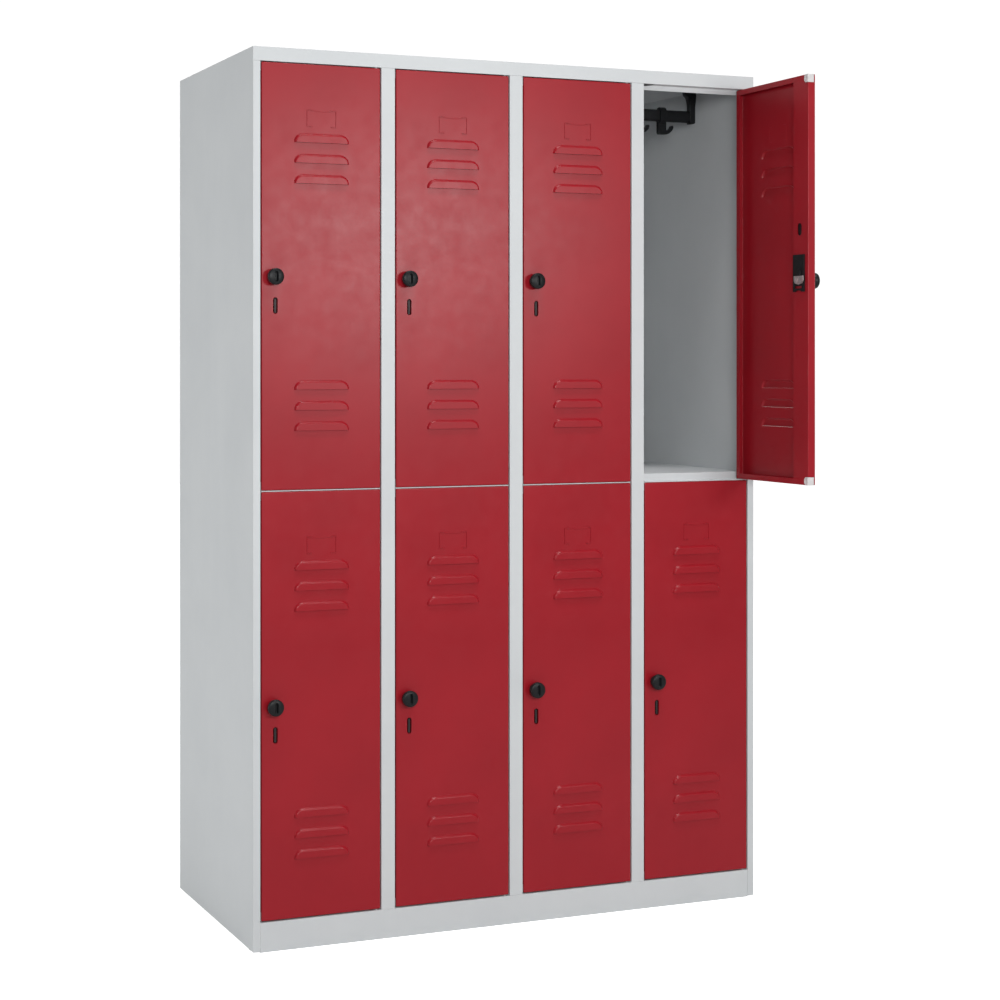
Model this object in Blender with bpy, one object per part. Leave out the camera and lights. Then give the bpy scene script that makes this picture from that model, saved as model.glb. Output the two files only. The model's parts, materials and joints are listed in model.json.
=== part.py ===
"""School locker: four columns of two compartments behind louvred steel doors.

Metres, +Z up, +Y towards the wall. The origin is on the floor at the middle of the footprint.
"""
import bmesh
import bpy
from math import cos, pi, radians, sin
from mathutils import Vector

# Carcass
WIDTH = 1.200
DEPTH = 0.500
HEIGHT = 1.850
COLUMNS = 4
PITCH = WIDTH / COLUMNS
LEFT = -WIDTH / 2
FRONT = -DEPTH / 2
BACK = DEPTH / 2
SHEET = 0.0008
GAP = 0.0003
SEAT = SHEET + GAP
HALF_STILE = 0.0155
STILE_DEPTH = 0.0205
STOP_LIP = 0.010
LEDGE_DEPTH = STILE_DEPTH + SEAT
RAIL_BOTTOM = 1.821
RAIL_LIP = 0.011
PLINTH_TOP = 0.0605
PLINTH_FOOT = 0.030
SIDE_FOOT = 0.002
FLOOR_TOP = 0.075
SHELF_TOP = 0.958
SHELF_DROP = 0.033
SHELF_HEM = 0.016
BACK_RETURN = 0.015
LIP_TRIM = 0.006
CORNER_NOTCH = 0.032
NOTCH_RISE = 0.0016
NOTCH_FALL = 0.0040
NOTCH_SETBACK = 0.004
RUNNER_FOOT = 0.024
FAR = 1.0

# Doors, in a frame of their own: the hinge axis at x = 0, y = 0 and the bottom edge at z = 0
DOOR_WIDTH = 0.264
DOOR_HEIGHT = 0.876
DOOR_DEPTH = 0.018
DOOR_SHEET = 0.001
DOOR_RADIUS = 0.002
DOOR_GAP = 0.0025
DOOR_BOTTOMS = (0.0635, 0.943)
HINGE_INSET = 0.007
HINGE_EDGE = HINGE_INSET
FREE_EDGE = HINGE_EDGE - DOOR_WIDTH
DOOR_FACE = -HINGE_INSET
DOOR_BACK = DOOR_FACE + DOOR_DEPTH
FREE_LIP = 0.052
HINGE_LIP = 0.014
END_LIP = 0.012
OPEN_ANGLE = radians(90)
OPEN_DOOR = (3, 1)

# Hinge pins and the strip between two doors, which carries the middle pair
PIN_RADIUS = 0.0025
PIN_HOLE = 0.0029
PIN_REACH = 0.0085
STRIP_THICKNESS = 0.002
STRIP_SETBACK = 0.002

# Louvres and label holder
LOUVRE_HALF = 0.061
LOUVRE_HEIGHT = 0.019
LOUVRE_CORNER = (0.021, 0.017)
LOUVRE_RISE = 0.0045
LOUVRE_PITCH = 0.0422
LOUVRE_ROWS = (0.1215, 0.630)
LOUVRES_PER_ROW = 3
LABEL_BOTTOM = 0.748
LABEL_SIZE = (0.064, 0.034)
LABEL_FOOT = 0.011
LABEL_RIB = 0.002
LABEL_RISE = 0.001
DOOR_MIDDLE = FREE_EDGE + DOOR_WIDTH / 2

# Knob: the profile gives each radius and how far it lies behind the grip's front
SLOT_X = FREE_EDGE + 0.03025
KNOB_OFFSET = 0.0045
KNOB_X = SLOT_X - KNOB_OFFSET
KNOB_Z = 0.437
KNOB_REACH = 0.0205
KNOB_PROFILE = ((0.0075, -0.0008), (0.0130, 0.0), (0.0158, 0.0010), (0.0170, 0.0028),
                (0.0170, 0.0090), (0.0136, 0.0125))
KNOB_NECK = 0.0118
GROOVE_MOUTH = (0.0028, 0.0115)
GROOVE_FLOOR = (0.0009, 0.0088)
GROOVE_DEPTH = 0.0030
SHANK_RADIUS = 0.005
SHANK_HOLE = 0.0055
SHANK_END = DOOR_FACE + 0.0013

# Lock case; its heights are above and below the knob's centre
CASE_HALF = 0.019
CASE_BELOW = 0.0237
CASE_ABOVE = 0.0558
CASE_DEPTH = 0.0034
CASE_WALL = 0.0012
CASE_BACK = DOOR_BACK + GAP + CASE_DEPTH
CASE_NOTCH = (0.0105, 0.005)
RECESS_HALF = 0.012
RECESS_HEIGHTS = (-0.0165, -0.0115)
CASE_BORE = 0.0049

# Cam: the spindle behind the knob, its tongue and its shield, which is half an octagon
SPINDLE_RADIUS = 0.004
SPINDLE_HOLE = 0.0046
TONGUE_REACH = 0.025
TONGUE_HALF = 0.007
TONGUE_TIP = 0.003
TONGUE_TAPER = 0.006
TONGUE_FACE = CASE_BACK + GAP
TONGUE_PLATE = 0.0015
SHIELD_FACE = TONGUE_FACE + TONGUE_PLATE
SHIELD_PLATE = 0.0012
SHIELD_HALF = 0.0165
SHIELD_RISE = 0.0100
SHIELD_CORNER = (0.0125, -0.0060)
SHIELD_FALL = 0.0090

# Padlock hasp and the oblong hole above the lock
SLOT_Z = 0.378
SLOT_SIZE = (0.010, 0.034)
HASP_SIZE = (0.0045, 0.029)
HASP_PLATE = 0.002
HASP_FRONT = DOOR_FACE + 0.0008
HASP_BACK = DOOR_BACK - 0.0013
HASP_EYE = 0.004
EYE_MARGIN = 0.0025
RING_RADIUS = 0.0075
RING_ANGLES = (radians(-40), radians(220))
ARM_HALF = 0.0048
ARM_OVERLAP = 0.004
LIP_HOLE_Z = 0.547
LIP_HOLE_SIZE = (0.014, 0.027)

# Corner buffers
BUFFER_HEIGHT = 0.0174
BUFFER_REACH = 0.0123
BUFFER_CHAMFER = 0.004
BUFFER_FRONT = DOOR_FACE + 0.0036
BUFFER_PROUD = 0.0017
DIMPLE_RADIUS = 0.0035
DIMPLE_DEPTH = 0.0012

# Coat rail, its brackets and its hooks; heights are below the ceiling, x is in the column
CEILINGS = (SHELF_TOP - SHEET, HEIGHT - SHEET)
RAIL_Y = FRONT + 0.215
RAIL_DROP = 0.0645
RAIL_HALF_DEPTH = 0.006
RAIL_HALF_HEIGHT = 0.014
RAIL_ENDS = (0.021, 0.279)
BRACKET_HALF_DEPTH = 0.008
BRACKET_FOOT = 0.029
BRACKET_WALL = 0.0025
BRACKET_EDGE = 0.015
BRACKET_WIDTH = 0.0165
BRACKET_DRAFT = 0.003
SHOULDER_DROP = 0.036
FLARE_DROP = 0.020
FOOT_HEIGHT = 0.010
FOOT_TAPER = 0.008
HOOK_PLACES = (0.0645, 0.1295, 0.1945)
HOOK_HALF = 0.0105
COLLAR_HALF = 0.0075
HOOK_WALL = 0.006
HOOK_THICKNESS = 0.010
HOOK_STEM = 0.040
PRONG = ((-0.0085, -0.0440), (0.0065, -0.0440), (0.0170, -0.0415), (0.0252, -0.0358),
         (0.0300, -0.0285), (0.0300, -0.0245), (0.0270, -0.0225), (0.0238, -0.0245),
         (0.0190, -0.0310), (0.0135, -0.0345))
PRONG_ROOT = 0.032

# Straight pieces in each round: whole circles, the knob, half circles, the ring and the corners
ROUND_STEPS = 8
KNOB_STEPS = 14
SLOT_STEPS = 3
OBLONG_STEPS = 4
RING_STEPS = 7
CORNER_STEPS = 2
SHARP_ANGLE = radians(32)

# Colours, and how rough each surface is
PAINT_GREY = (0.60, 0.63, 0.64, 1.0)
PAINT_RED = (0.30, 0.016, 0.026, 1.0)
PLASTIC_BLACK = (0.018, 0.019, 0.020, 1.0)
PLASTIC_WHITE = (0.78, 0.79, 0.78, 1.0)
ZINC = (0.62, 0.62, 0.60, 1.0)
GREY_ROUGHNESS = 0.45
RED_ROUGHNESS = 0.38
BLACK_ROUGHNESS = 0.40
WHITE_ROUGHNESS = 0.45
ZINC_ROUGHNESS = 0.35


# --- Scene, materials and solids ---------------------------------------------------------------

def clear_scene():
    for item in list(bpy.data.objects):
        bpy.data.objects.remove(item)


def make_material(name, colour, roughness, metallic=0.0):
    material = bpy.data.materials.new(name)
    material.use_nodes = True
    shader = material.node_tree.nodes["Principled BSDF"]
    shader.inputs["Base Color"].default_value = colour
    shader.inputs["Roughness"].default_value = roughness
    shader.inputs["Metallic"].default_value = metallic
    material.diffuse_color = colour
    return material


def lofted(lower, upper):
    """A closed solid between two outlines with the same number of corners."""
    shape = bmesh.new()
    rings = [[shape.verts.new(point) for point in outline] for outline in (lower, upper)]
    for ring in rings:
        shape.faces.new(ring)
    for start in range(len(lower)):
        stop = (start + 1) % len(lower)
        shape.faces.new((rings[0][start], rings[0][stop], rings[1][stop], rings[1][start]))
    bmesh.ops.recalc_face_normals(shape, faces=shape.faces)
    return shape


def along_x(outline, low, high):
    """The outline of (y, z) corners, drawn out from low to high along X."""
    return lofted([(low, y, z) for y, z in outline], [(high, y, z) for y, z in outline])


def along_y(outline, low, high):
    """The outline of (x, z) corners, drawn out from low to high along Y."""
    return lofted([(x, low, z) for x, z in outline], [(x, high, z) for x, z in outline])


def along_z(outline, low, high):
    """The outline of (x, y) corners, drawn out from low to high along Z."""
    return lofted([(x, y, low) for x, y in outline], [(x, y, high) for x, y in outline])


def rectangle(low, high):
    return [(low[0], low[1]), (high[0], low[1]), (high[0], high[1]), (low[0], high[1])]


def block(low, high):
    return along_z(rectangle(low[:2], high[:2]), low[2], high[2])


def ellipse_arc(centre, radii, start, stop, steps):
    """Points on an ellipse from one angle to another, both ends included."""
    angles = [start + (stop - start) * step / steps for step in range(steps + 1)]
    return [(centre[0] + radii[0] * cos(angle), centre[1] + radii[1] * sin(angle)) for angle in angles]


def circle(centre, radius, steps):
    return ellipse_arc(centre, (radius, radius), 0.0, 2 * pi, steps)[:-1]


def stadium(centre, half_width, half_height, steps):
    """A slot outline with round ends, taller than it is wide."""
    rise = half_height - half_width
    radii = (half_width, half_width)
    top = ellipse_arc((centre[0], centre[1] + rise), radii, 0.0, pi, steps)
    return top + ellipse_arc((centre[0], centre[1] - rise), radii, pi, 2 * pi, steps)


def folded(path, thickness):
    """The outline of a bent sheet: the path is its outer face and the metal lies to its left."""
    corners = [Vector(point) for point in path]
    normals = []
    for start, stop in zip(corners, corners[1:]):
        run = (stop - start).normalized()
        normals.append(Vector((-run.y, run.x)))
    inner = [corners[0] + normals[0] * thickness]
    for corner, before, after in zip(corners[1:-1], normals, normals[1:]):
        inner.append(corner + (before + after) * (thickness / (1 + before.dot(after))))
    inner.append(corners[-1] + normals[-1] * thickness)
    return [tuple(point) for point in corners + inner[::-1]]


def turned(profile, steps):
    """A solid turned about the Y axis from (radius, y) points; its ends are flat."""
    shape = bmesh.new()
    rings = []
    for radius, level in profile:
        ring = [shape.verts.new((x, level, z)) for x, z in circle((0.0, 0.0), radius, steps)]
        rings.append(ring)
    for near, far in zip(rings, rings[1:]):
        for start in range(steps):
            stop = (start + 1) % steps
            shape.faces.new((near[start], near[stop], far[stop], far[start]))
    shape.faces.new(rings[0])
    shape.faces.new(rings[-1])
    bmesh.ops.recalc_face_normals(shape, faces=shape.faces)
    return shape


def shifted(shape, offset):
    bmesh.ops.translate(shape, verts=shape.verts, vec=offset)
    return shape


def add_object(name, shapes, material=None):
    """One object from one or more bmesh shapes, which are used up."""
    whole = bmesh.new()
    for shape in shapes:
        piece = bpy.data.meshes.new(name)
        shape.to_mesh(piece)
        shape.free()
        whole.from_mesh(piece)
        bpy.data.meshes.remove(piece)
    mesh = bpy.data.meshes.new(name)
    whole.to_mesh(mesh)
    whole.free()
    return place_mesh(name, mesh, material)


def place_mesh(name, mesh, material=None, parent=None):
    """An object of the mesh; objects may share one mesh."""
    thing = bpy.data.objects.new(name, mesh)
    bpy.context.scene.collection.objects.link(thing)
    if material:
        mesh.materials.clear()
        mesh.materials.append(material)
    if parent:
        thing.parent = parent
    return thing


def combine(thing, operation, shapes):
    """Unite the shapes with the object, or cut them from it, and keep the result as its mesh."""
    tool = add_object("tool", shapes)
    modifier = thing.modifiers.new(operation.lower(), "BOOLEAN")
    modifier.operation = operation
    modifier.object = tool
    evaluated = thing.evaluated_get(bpy.context.evaluated_depsgraph_get())
    result = bpy.data.meshes.new_from_object(evaluated)
    thing.modifiers.remove(modifier)
    thing.data = result
    bpy.data.objects.remove(tool)


def unite(thing, *shapes):
    for shape in shapes:
        combine(thing, "UNION", [shape])


def cut(thing, *shapes):
    combine(thing, "DIFFERENCE", shapes)


def smooth_rounds(thing):
    thing.data.shade_smooth()
    thing.data.set_sharp_from_angle(angle=SHARP_ANGLE)


# --- Carcass -----------------------------------------------------------------------------------

def column_left(column):
    return LEFT + PITCH * column


def hinge_x(column):
    return column_left(column + 1) - HALF_STILE - DOOR_GAP - HINGE_INSET


def make_side_panel(name, side, material):
    """One folded sheet: back return, wall, front stile, stile return and stop lip."""
    path = [(BACK_RETURN, BACK), (0.0, BACK), (0.0, FRONT), (HALF_STILE, FRONT),
            (HALF_STILE, FRONT + STILE_DEPTH), (HALF_STILE + STOP_LIP, FRONT + STILE_DEPTH)]
    outline = [(side * (x - WIDTH / 2), y) for x, y in folded(path, SHEET)]
    panel = add_object(name, [along_z(outline, SIDE_FOOT, HEIGHT)], material)
    lip = FRONT + LEDGE_DEPTH
    inner = side * (SEAT - WIDTH / 2)
    beyond = side * (HALF_STILE * 2 - WIDTH / 2)
    step = side * (HALF_STILE + GAP / 3 - WIDTH / 2)
    under_roof = block((min(inner, beyond), FRONT - SHEET, RAIL_BOTTOM - GAP),
                       (max(inner, beyond), lip + SEAT, HEIGHT + SHEET))
    over_base = block((min(step, beyond), FRONT + STILE_DEPTH - GAP, 0.0),
                      (max(step, beyond), lip, PLINTH_TOP + GAP))
    cut(panel, under_roof, over_base)
    return panel


def make_partition(name, x, material):
    """A wall between two columns, with its front stile and the stop lips on both sides."""
    edge = FRONT + STILE_DEPTH
    half = [(HALF_STILE, FRONT), (HALF_STILE, edge), (HALF_STILE + STOP_LIP, edge),
            (HALF_STILE + STOP_LIP, edge + SHEET), (HALF_STILE - SHEET, edge + SHEET),
            (HALF_STILE - SHEET, FRONT + SHEET), (SHEET / 2, FRONT + SHEET),
            (SHEET / 2, BACK - 2 * SEAT)]
    outline = half + [(-a, b) for a, b in reversed(half)]
    wall = add_object(name, [along_z([(x + a, b) for a, b in outline], PLINTH_TOP + GAP, HEIGHT - SEAT)],
                      material)
    lip = FRONT + LEDGE_DEPTH
    reach = HALF_STILE * 2
    roof_room = block((x - reach, FRONT - SHEET, RAIL_BOTTOM - GAP), (x + reach, lip + SEAT, HEIGHT))
    floor_room = block((x - reach, lip - GAP, 0.0), (x + reach, FAR, FLOOR_TOP + GAP))
    lip_room = block((x - reach, lip - GAP, RAIL_BOTTOM - RAIL_LIP - GAP),
                     (x + reach, lip + SEAT, RAIL_BOTTOM))
    trims = []
    for sign in (-1, 1):
        near = x + sign * (HALF_STILE + GAP / 3)
        far = x + sign * reach
        for low, high in ((0.0, FLOOR_TOP + LIP_TRIM), (RAIL_BOTTOM - LIP_TRIM, RAIL_BOTTOM)):
            trims.append(block((min(near, far), edge - GAP, low), (max(near, far), lip - GAP / 2, high)))
    cut(wall, roof_room)
    cut(wall, floor_room)
    cut(wall, lip_room)
    cut(wall, *trims)
    return wall


def make_pin(x, low, high):
    return along_z(circle((x, FRONT + HINGE_INSET), PIN_RADIUS, ROUND_STEPS), low, high)


def make_roof(material):
    """Top sheet, front rail, underside and door stop in one strip, with the upper hinge pins."""
    path = [(BACK - SEAT, HEIGHT), (FRONT, HEIGHT), (FRONT, RAIL_BOTTOM),
            (FRONT + LEDGE_DEPTH, RAIL_BOTTOM), (FRONT + LEDGE_DEPTH, RAIL_BOTTOM - RAIL_LIP)]
    roof = add_object("roof_panel", [along_x(folded(path, SHEET), LEFT + SEAT, -LEFT - SEAT)], material)
    notches = []
    for column in range(COLUMNS):
        left = column_left(column) + HALF_STILE
        right = left + CORNER_NOTCH
        top = RAIL_BOTTOM + NOTCH_RISE
        outline = [(left, top), (right, top), (right, RAIL_BOTTOM), (left, RAIL_BOTTOM - NOTCH_FALL)]
        notches.append(along_y(outline, FRONT + NOTCH_SETBACK, FRONT + LEDGE_DEPTH + SEAT))
    cut(roof, *notches)
    for column in range(COLUMNS):
        unite(roof, make_pin(hinge_x(column), DOOR_BOTTOMS[1] + DOOR_HEIGHT - PIN_REACH + DOOR_GAP,
                             RAIL_BOTTOM + SHEET / 2))
    return roof


def make_base(material):
    """Floor, door stop, ledge and plinth in one strip, with runners and the lower hinge pins."""
    lip = FRONT + LEDGE_DEPTH
    path = [(BACK - 2 * SEAT, FLOOR_TOP), (lip, FLOOR_TOP), (lip, PLINTH_TOP), (FRONT, PLINTH_TOP),
            (FRONT, 0.0), (FRONT + PLINTH_FOOT, 0.0)]
    base = add_object("base_plinth", [along_x(folded(path, SHEET), LEFT + SEAT, -LEFT - SEAT)], material)
    ends = []
    for side in (-1, 1):
        near = side * (WIDTH / 2 - HALF_STILE - GAP)
        far = side * WIDTH
        ends.append(block((min(near, far), -DEPTH, -SHEET), (max(near, far), lip - GAP, HEIGHT)))
    cut(base, *ends)
    for column in range(1, COLUMNS):
        x = column_left(column)
        foot = [(x + RUNNER_FOOT / 2, 0.0), (x + RUNNER_FOOT / 2, SHEET), (x + SHEET / 2, SHEET),
                (x + SHEET / 2, FLOOR_TOP - SHEET / 2), (x - SHEET / 2, FLOOR_TOP - SHEET / 2),
                (x - SHEET / 2, SHEET), (x - RUNNER_FOOT / 2, SHEET), (x - RUNNER_FOOT / 2, 0.0)]
        unite(base, along_y(foot, lip + SHEET / 2, BACK - 2 * SEAT))
    for column in range(COLUMNS):
        unite(base, make_pin(hinge_x(column), PLINTH_TOP - SHEET / 2,
                             DOOR_BOTTOMS[0] - DOOR_GAP + PIN_REACH))
    return base


def make_shelf(column, material):
    """A compartment floor with its turned-down front edge and the strip that carries two pins."""
    left = column_left(column) + SEAT
    right = column_left(column + 1) - SEAT
    lip = FRONT + LEDGE_DEPTH
    path = [(BACK - 2 * SEAT, SHELF_TOP), (lip, SHELF_TOP), (lip, SHELF_TOP - SHELF_DROP),
            (lip + SHELF_HEM, SHELF_TOP - SHELF_DROP)]
    shelf = add_object("shelf_%d" % (column + 1), [along_x(folded(path, SHEET), left, right)], material)
    near = FRONT + STRIP_SETBACK
    behind = FRONT + STILE_DEPTH - GAP
    root = lip + SHEET / 2
    strip = []
    for edge, sign in ((column_left(column), 1), (column_left(column + 1), -1)):
        end = edge + sign * (HALF_STILE + DOOR_GAP)
        narrow = edge + sign * (HALF_STILE + STOP_LIP + GAP)
        corners = [(narrow, root), (narrow, behind), (end, behind), (end, near)]
        strip += corners[::sign]
    middle = (DOOR_BOTTOMS[0] + DOOR_HEIGHT + DOOR_BOTTOMS[1]) / 2
    low = middle - STRIP_THICKNESS / 2
    high = middle + STRIP_THICKNESS / 2
    unite(shelf, along_z(strip, low, high))
    unite(shelf, make_pin(hinge_x(column), high - PIN_REACH, low + PIN_REACH))
    return shelf


def make_back(material):
    """The flat sheet inside the side panels' back returns."""
    return add_object("back_panel", [block((LEFT + SEAT, BACK - SEAT - SHEET, SIDE_FOOT),
                                           (-LEFT - SEAT, BACK - SEAT, HEIGHT - SEAT))], material)


def make_carcass(grey):
    make_side_panel("side_panel_left", 1, grey)
    make_side_panel("side_panel_right", -1, grey)
    make_back(grey)
    make_roof(grey)
    make_base(grey)
    for column in range(1, COLUMNS):
        make_partition("partition_%d" % column, column_left(column), grey)
    for column in range(COLUMNS):
        make_shelf(column, grey)


# --- Doors -------------------------------------------------------------------------------------

def louvre_outline(inset, bottom):
    """Straight bottom edge, round top corners; the inset shrinks the sides and the top."""
    half = LOUVRE_HALF - inset
    top = LOUVRE_HEIGHT - inset
    radii = (LOUVRE_CORNER[0] - inset, LOUVRE_CORNER[1] - inset)
    right = ellipse_arc((half - radii[0], top - radii[1]), radii, 0.0, pi / 2, CORNER_STEPS)
    left = [(-x, z) for x, z in reversed(right)]
    return [(half, bottom)] + right + left + [(-half, bottom)]


def louvre_solid(inset, rise, back, bottom, sill):
    """A hood from the back plane out to its raised face, placed over the sill."""
    near = [(DOOR_MIDDLE + x, DOOR_FACE + back, sill + z) for x, z in louvre_outline(inset, bottom)]
    face_inset = inset + LOUVRE_RISE
    far = [(DOOR_MIDDLE + x, DOOR_FACE - rise, sill + z) for x, z in louvre_outline(face_inset, bottom)]
    return lofted(near, far)


def label_bracket(sign):
    """A C-shaped pressed rib that holds one end of a card."""
    edge = LABEL_SIZE[0] / 2
    toe = edge - LABEL_FOOT
    rib = edge - LABEL_RIB
    top = LABEL_SIZE[1]
    outline = [(edge, 0.0), (edge, top), (toe, top), (toe, top - LABEL_RIB), (rib, top - LABEL_RIB),
               (rib, LABEL_RIB), (toe, LABEL_RIB), (toe, 0.0)]
    placed = [(DOOR_MIDDLE + sign * x, LABEL_BOTTOM + z) for x, z in outline]
    return along_y(placed, DOOR_FACE - LABEL_RISE, DOOR_FACE + DOOR_SHEET / 2)


def buffer_outline(grow, top):
    """A square with two cut corners at the door's free edge, at its top or its bottom."""
    edge = FREE_EDGE
    reach = edge + BUFFER_REACH + grow
    low = DOOR_HEIGHT - BUFFER_HEIGHT - grow
    high = DOOR_HEIGHT + grow
    outline = [(edge - grow, low), (reach - BUFFER_CHAMFER, low), (reach, low + BUFFER_CHAMFER),
               (reach, high - BUFFER_CHAMFER), (reach - BUFFER_CHAMFER, high), (edge - grow, high)]
    return outline if top else [(x, DOOR_HEIGHT - z) for x, z in outline]


def door_blank():
    """A box with its four front edges rounded."""
    shape = block((FREE_EDGE, DOOR_FACE, 0.0), (HINGE_EDGE, DOOR_BACK, DOOR_HEIGHT))
    front = [edge for edge in shape.edges if all(vert.co.y < 0 for vert in edge.verts)]
    bmesh.ops.bevel(shape, geom=front, offset=DOOR_RADIUS, offset_type="OFFSET",
                    segments=CORNER_STEPS, profile=0.5, affect="EDGES")
    return shape


def press_louvres(door):
    """Raise the hoods, then hollow them from behind so that each is open below."""
    sheet = DOOR_SHEET
    sills = [row + LOUVRE_PITCH * place for row in LOUVRE_ROWS for place in range(LOUVRES_PER_ROW)]
    combine(door, "UNION", [louvre_solid(0.0, LOUVRE_RISE, sheet / 2, 0.0, sill) for sill in sills])
    cut(door, *[louvre_solid(sheet, LOUVRE_RISE - sheet, 2 * sheet, -sheet / 2, sill) for sill in sills])


def pierce_door(door):
    """Holes for the knob, the hasp, the spindle and the pins, and room for the buffers."""
    sheet = DOOR_SHEET
    skin = (DOOR_FACE - sheet, DOOR_FACE + 2 * sheet)
    lip = (DOOR_BACK - 2 * sheet, DOOR_BACK + sheet)
    latch_hole = circle((KNOB_X, KNOB_Z), SHANK_HOLE, ROUND_STEPS)
    slot = stadium((SLOT_X, SLOT_Z), SLOT_SIZE[0] / 2, SLOT_SIZE[1] / 2, SLOT_STEPS)
    oblong = stadium((SLOT_X, LIP_HOLE_Z), LIP_HOLE_SIZE[0] / 2, LIP_HOLE_SIZE[1] / 2, OBLONG_STEPS)
    cut(door, along_y(latch_hole, *skin), along_y(slot, *skin), along_y(latch_hole, *lip),
        along_y(oblong, *lip))
    pin = circle((0.0, 0.0), PIN_HOLE, ROUND_STEPS)
    cut(door, along_z(pin, -sheet, 2 * sheet), along_z(pin, DOOR_HEIGHT - 2 * sheet, DOOR_HEIGHT + sheet))
    for top in (True, False):
        cut(door, along_y(buffer_outline(GAP, top), BUFFER_FRONT - GAP, DOOR_BACK + sheet))


def make_door_mesh(red):
    """The pan: front skin, four folds and four return lips, with every hole and pressing."""
    sheet = DOOR_SHEET
    door = add_object("door", [door_blank()], red)
    cut(door, block((FREE_EDGE + sheet, DOOR_FACE + sheet, sheet),
                    (HINGE_EDGE - sheet, DOOR_BACK - sheet, DOOR_HEIGHT - sheet)))
    cut(door, block((FREE_EDGE + FREE_LIP, DOOR_BACK - 2 * sheet, END_LIP),
                    (HINGE_EDGE - HINGE_LIP, DOOR_BACK + sheet, DOOR_HEIGHT - END_LIP)))
    press_louvres(door)
    combine(door, "UNION", [label_bracket(sign) for sign in (-1, 1)])
    pierce_door(door)
    mesh = door.data
    bpy.data.objects.remove(door)
    return mesh


def make_knob_mesh(black):
    """Waisted turn knob with a domed face; a tapered groove runs down its middle."""
    front = DOOR_FACE - KNOB_REACH
    rear = DOOR_FACE - GAP
    profile = [(radius, front + behind) for radius, behind in KNOB_PROFILE]
    profile += [(KNOB_NECK, rear), (SHANK_RADIUS, rear), (SHANK_RADIUS, SHANK_END)]
    knob = add_object("knob", [turned(profile, KNOB_STEPS)], black)
    rings = []
    for (half_width, half_height), level in ((GROOVE_MOUTH, front - GROOVE_DEPTH),
                                             (GROOVE_FLOOR, front + GROOVE_DEPTH)):
        outline = rectangle((-half_width, -half_height), (half_width, half_height))
        rings.append([(x, level, z) for x, z in outline])
    cut(knob, lofted(*rings))
    smooth_rounds(knob)
    mesh = knob.data
    bpy.data.objects.remove(knob)
    return mesh


def make_cam_mesh(zinc):
    """Spindle with the locking tongue, which points up at rest, and the shield on its end."""
    spindle = [(SPINDLE_RADIUS, SHANK_END + GAP), (SPINDLE_RADIUS, SHIELD_FACE)]
    cam = add_object("cam", [turned(spindle, ROUND_STEPS)], zinc)
    shoulder = TONGUE_REACH - TONGUE_TAPER
    tongue = [(TONGUE_HALF, -TONGUE_HALF), (TONGUE_HALF, shoulder), (TONGUE_TIP, TONGUE_REACH),
              (-TONGUE_TIP, TONGUE_REACH), (-TONGUE_HALF, shoulder), (-TONGUE_HALF, -TONGUE_HALF)]
    unite(cam, along_y(tongue, TONGUE_FACE, SHIELD_FACE + SHIELD_PLATE / 2))
    half = [(SHIELD_HALF, SHIELD_RISE), (SHIELD_HALF, 0.0), SHIELD_CORNER]
    shield = half + [(0.0, -SHIELD_FALL)] + [(-x, z) for x, z in reversed(half)]
    unite(cam, along_y(shield, SHIELD_FACE, SHIELD_FACE + SHIELD_PLATE))
    mesh = cam.data
    bpy.data.objects.remove(cam)
    return mesh


def make_hasp_mesh(zinc):
    """Padlock plate behind its slot, with the arm and ring that ride on the spindle."""
    half_width = HASP_SIZE[0] / 2
    half_height = HASP_SIZE[1] / 2
    middle = SLOT_Z - KNOB_Z
    low = middle - half_height
    high = middle + half_height
    near = KNOB_OFFSET - half_width
    far = KNOB_OFFSET + half_width
    hasp = add_object("hasp", [block((near, HASP_FRONT, low), (far, HASP_BACK, high))], zinc)
    eye_y = HASP_FRONT + EYE_MARGIN + HASP_EYE
    cut(hasp, along_x(circle((eye_y, middle), HASP_EYE, ROUND_STEPS), -FAR, FAR))
    ring = ellipse_arc((0.0, 0.0), (RING_RADIUS, RING_RADIUS), *RING_ANGLES, RING_STEPS)
    foot = low + ARM_OVERLAP
    arm = ring + [(KNOB_OFFSET - ARM_HALF, foot), (KNOB_OFFSET + ARM_HALF, foot)]
    unite(hasp, along_y(arm, HASP_BACK - HASP_PLATE, HASP_BACK))
    cut(hasp, along_y(circle((0.0, 0.0), SPINDLE_HOLE, ROUND_STEPS), -FAR, FAR))
    mesh = hasp.data
    bpy.data.objects.remove(hasp)
    return mesh


def make_lock_case(black, parent):
    """Shallow black cover of the latch, open towards the door; the spindle passes through it."""
    wall = CASE_WALL
    inner = CASE_BACK - wall
    outer = CASE_BACK - 2 * wall
    hidden = DOOR_BACK - FAR
    case = add_object("lock_case", [block((-CASE_HALF, DOOR_BACK + GAP, -CASE_BELOW),
                                          (CASE_HALF, CASE_BACK, CASE_ABOVE))], black)
    cut(case, block((-CASE_HALF + wall, hidden, -CASE_BELOW + wall),
                    (CASE_HALF - wall, inner, CASE_ABOVE - wall)))
    notch = rectangle((-CASE_NOTCH[0], -CASE_BELOW - wall), (CASE_NOTCH[0], -CASE_BELOW + CASE_NOTCH[1]))
    recess = rectangle((-RECESS_HALF, RECESS_HEIGHTS[0]), (RECESS_HALF, RECESS_HEIGHTS[1]))
    bore = circle((-KNOB_OFFSET, 0.0), CASE_BORE, ROUND_STEPS)
    cut(case, along_y(notch, hidden, FAR), along_y(recess, outer, FAR), along_y(bore, outer, FAR))
    case.parent = parent
    case.location = (SLOT_X, 0.0, KNOB_Z)
    return case


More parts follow.
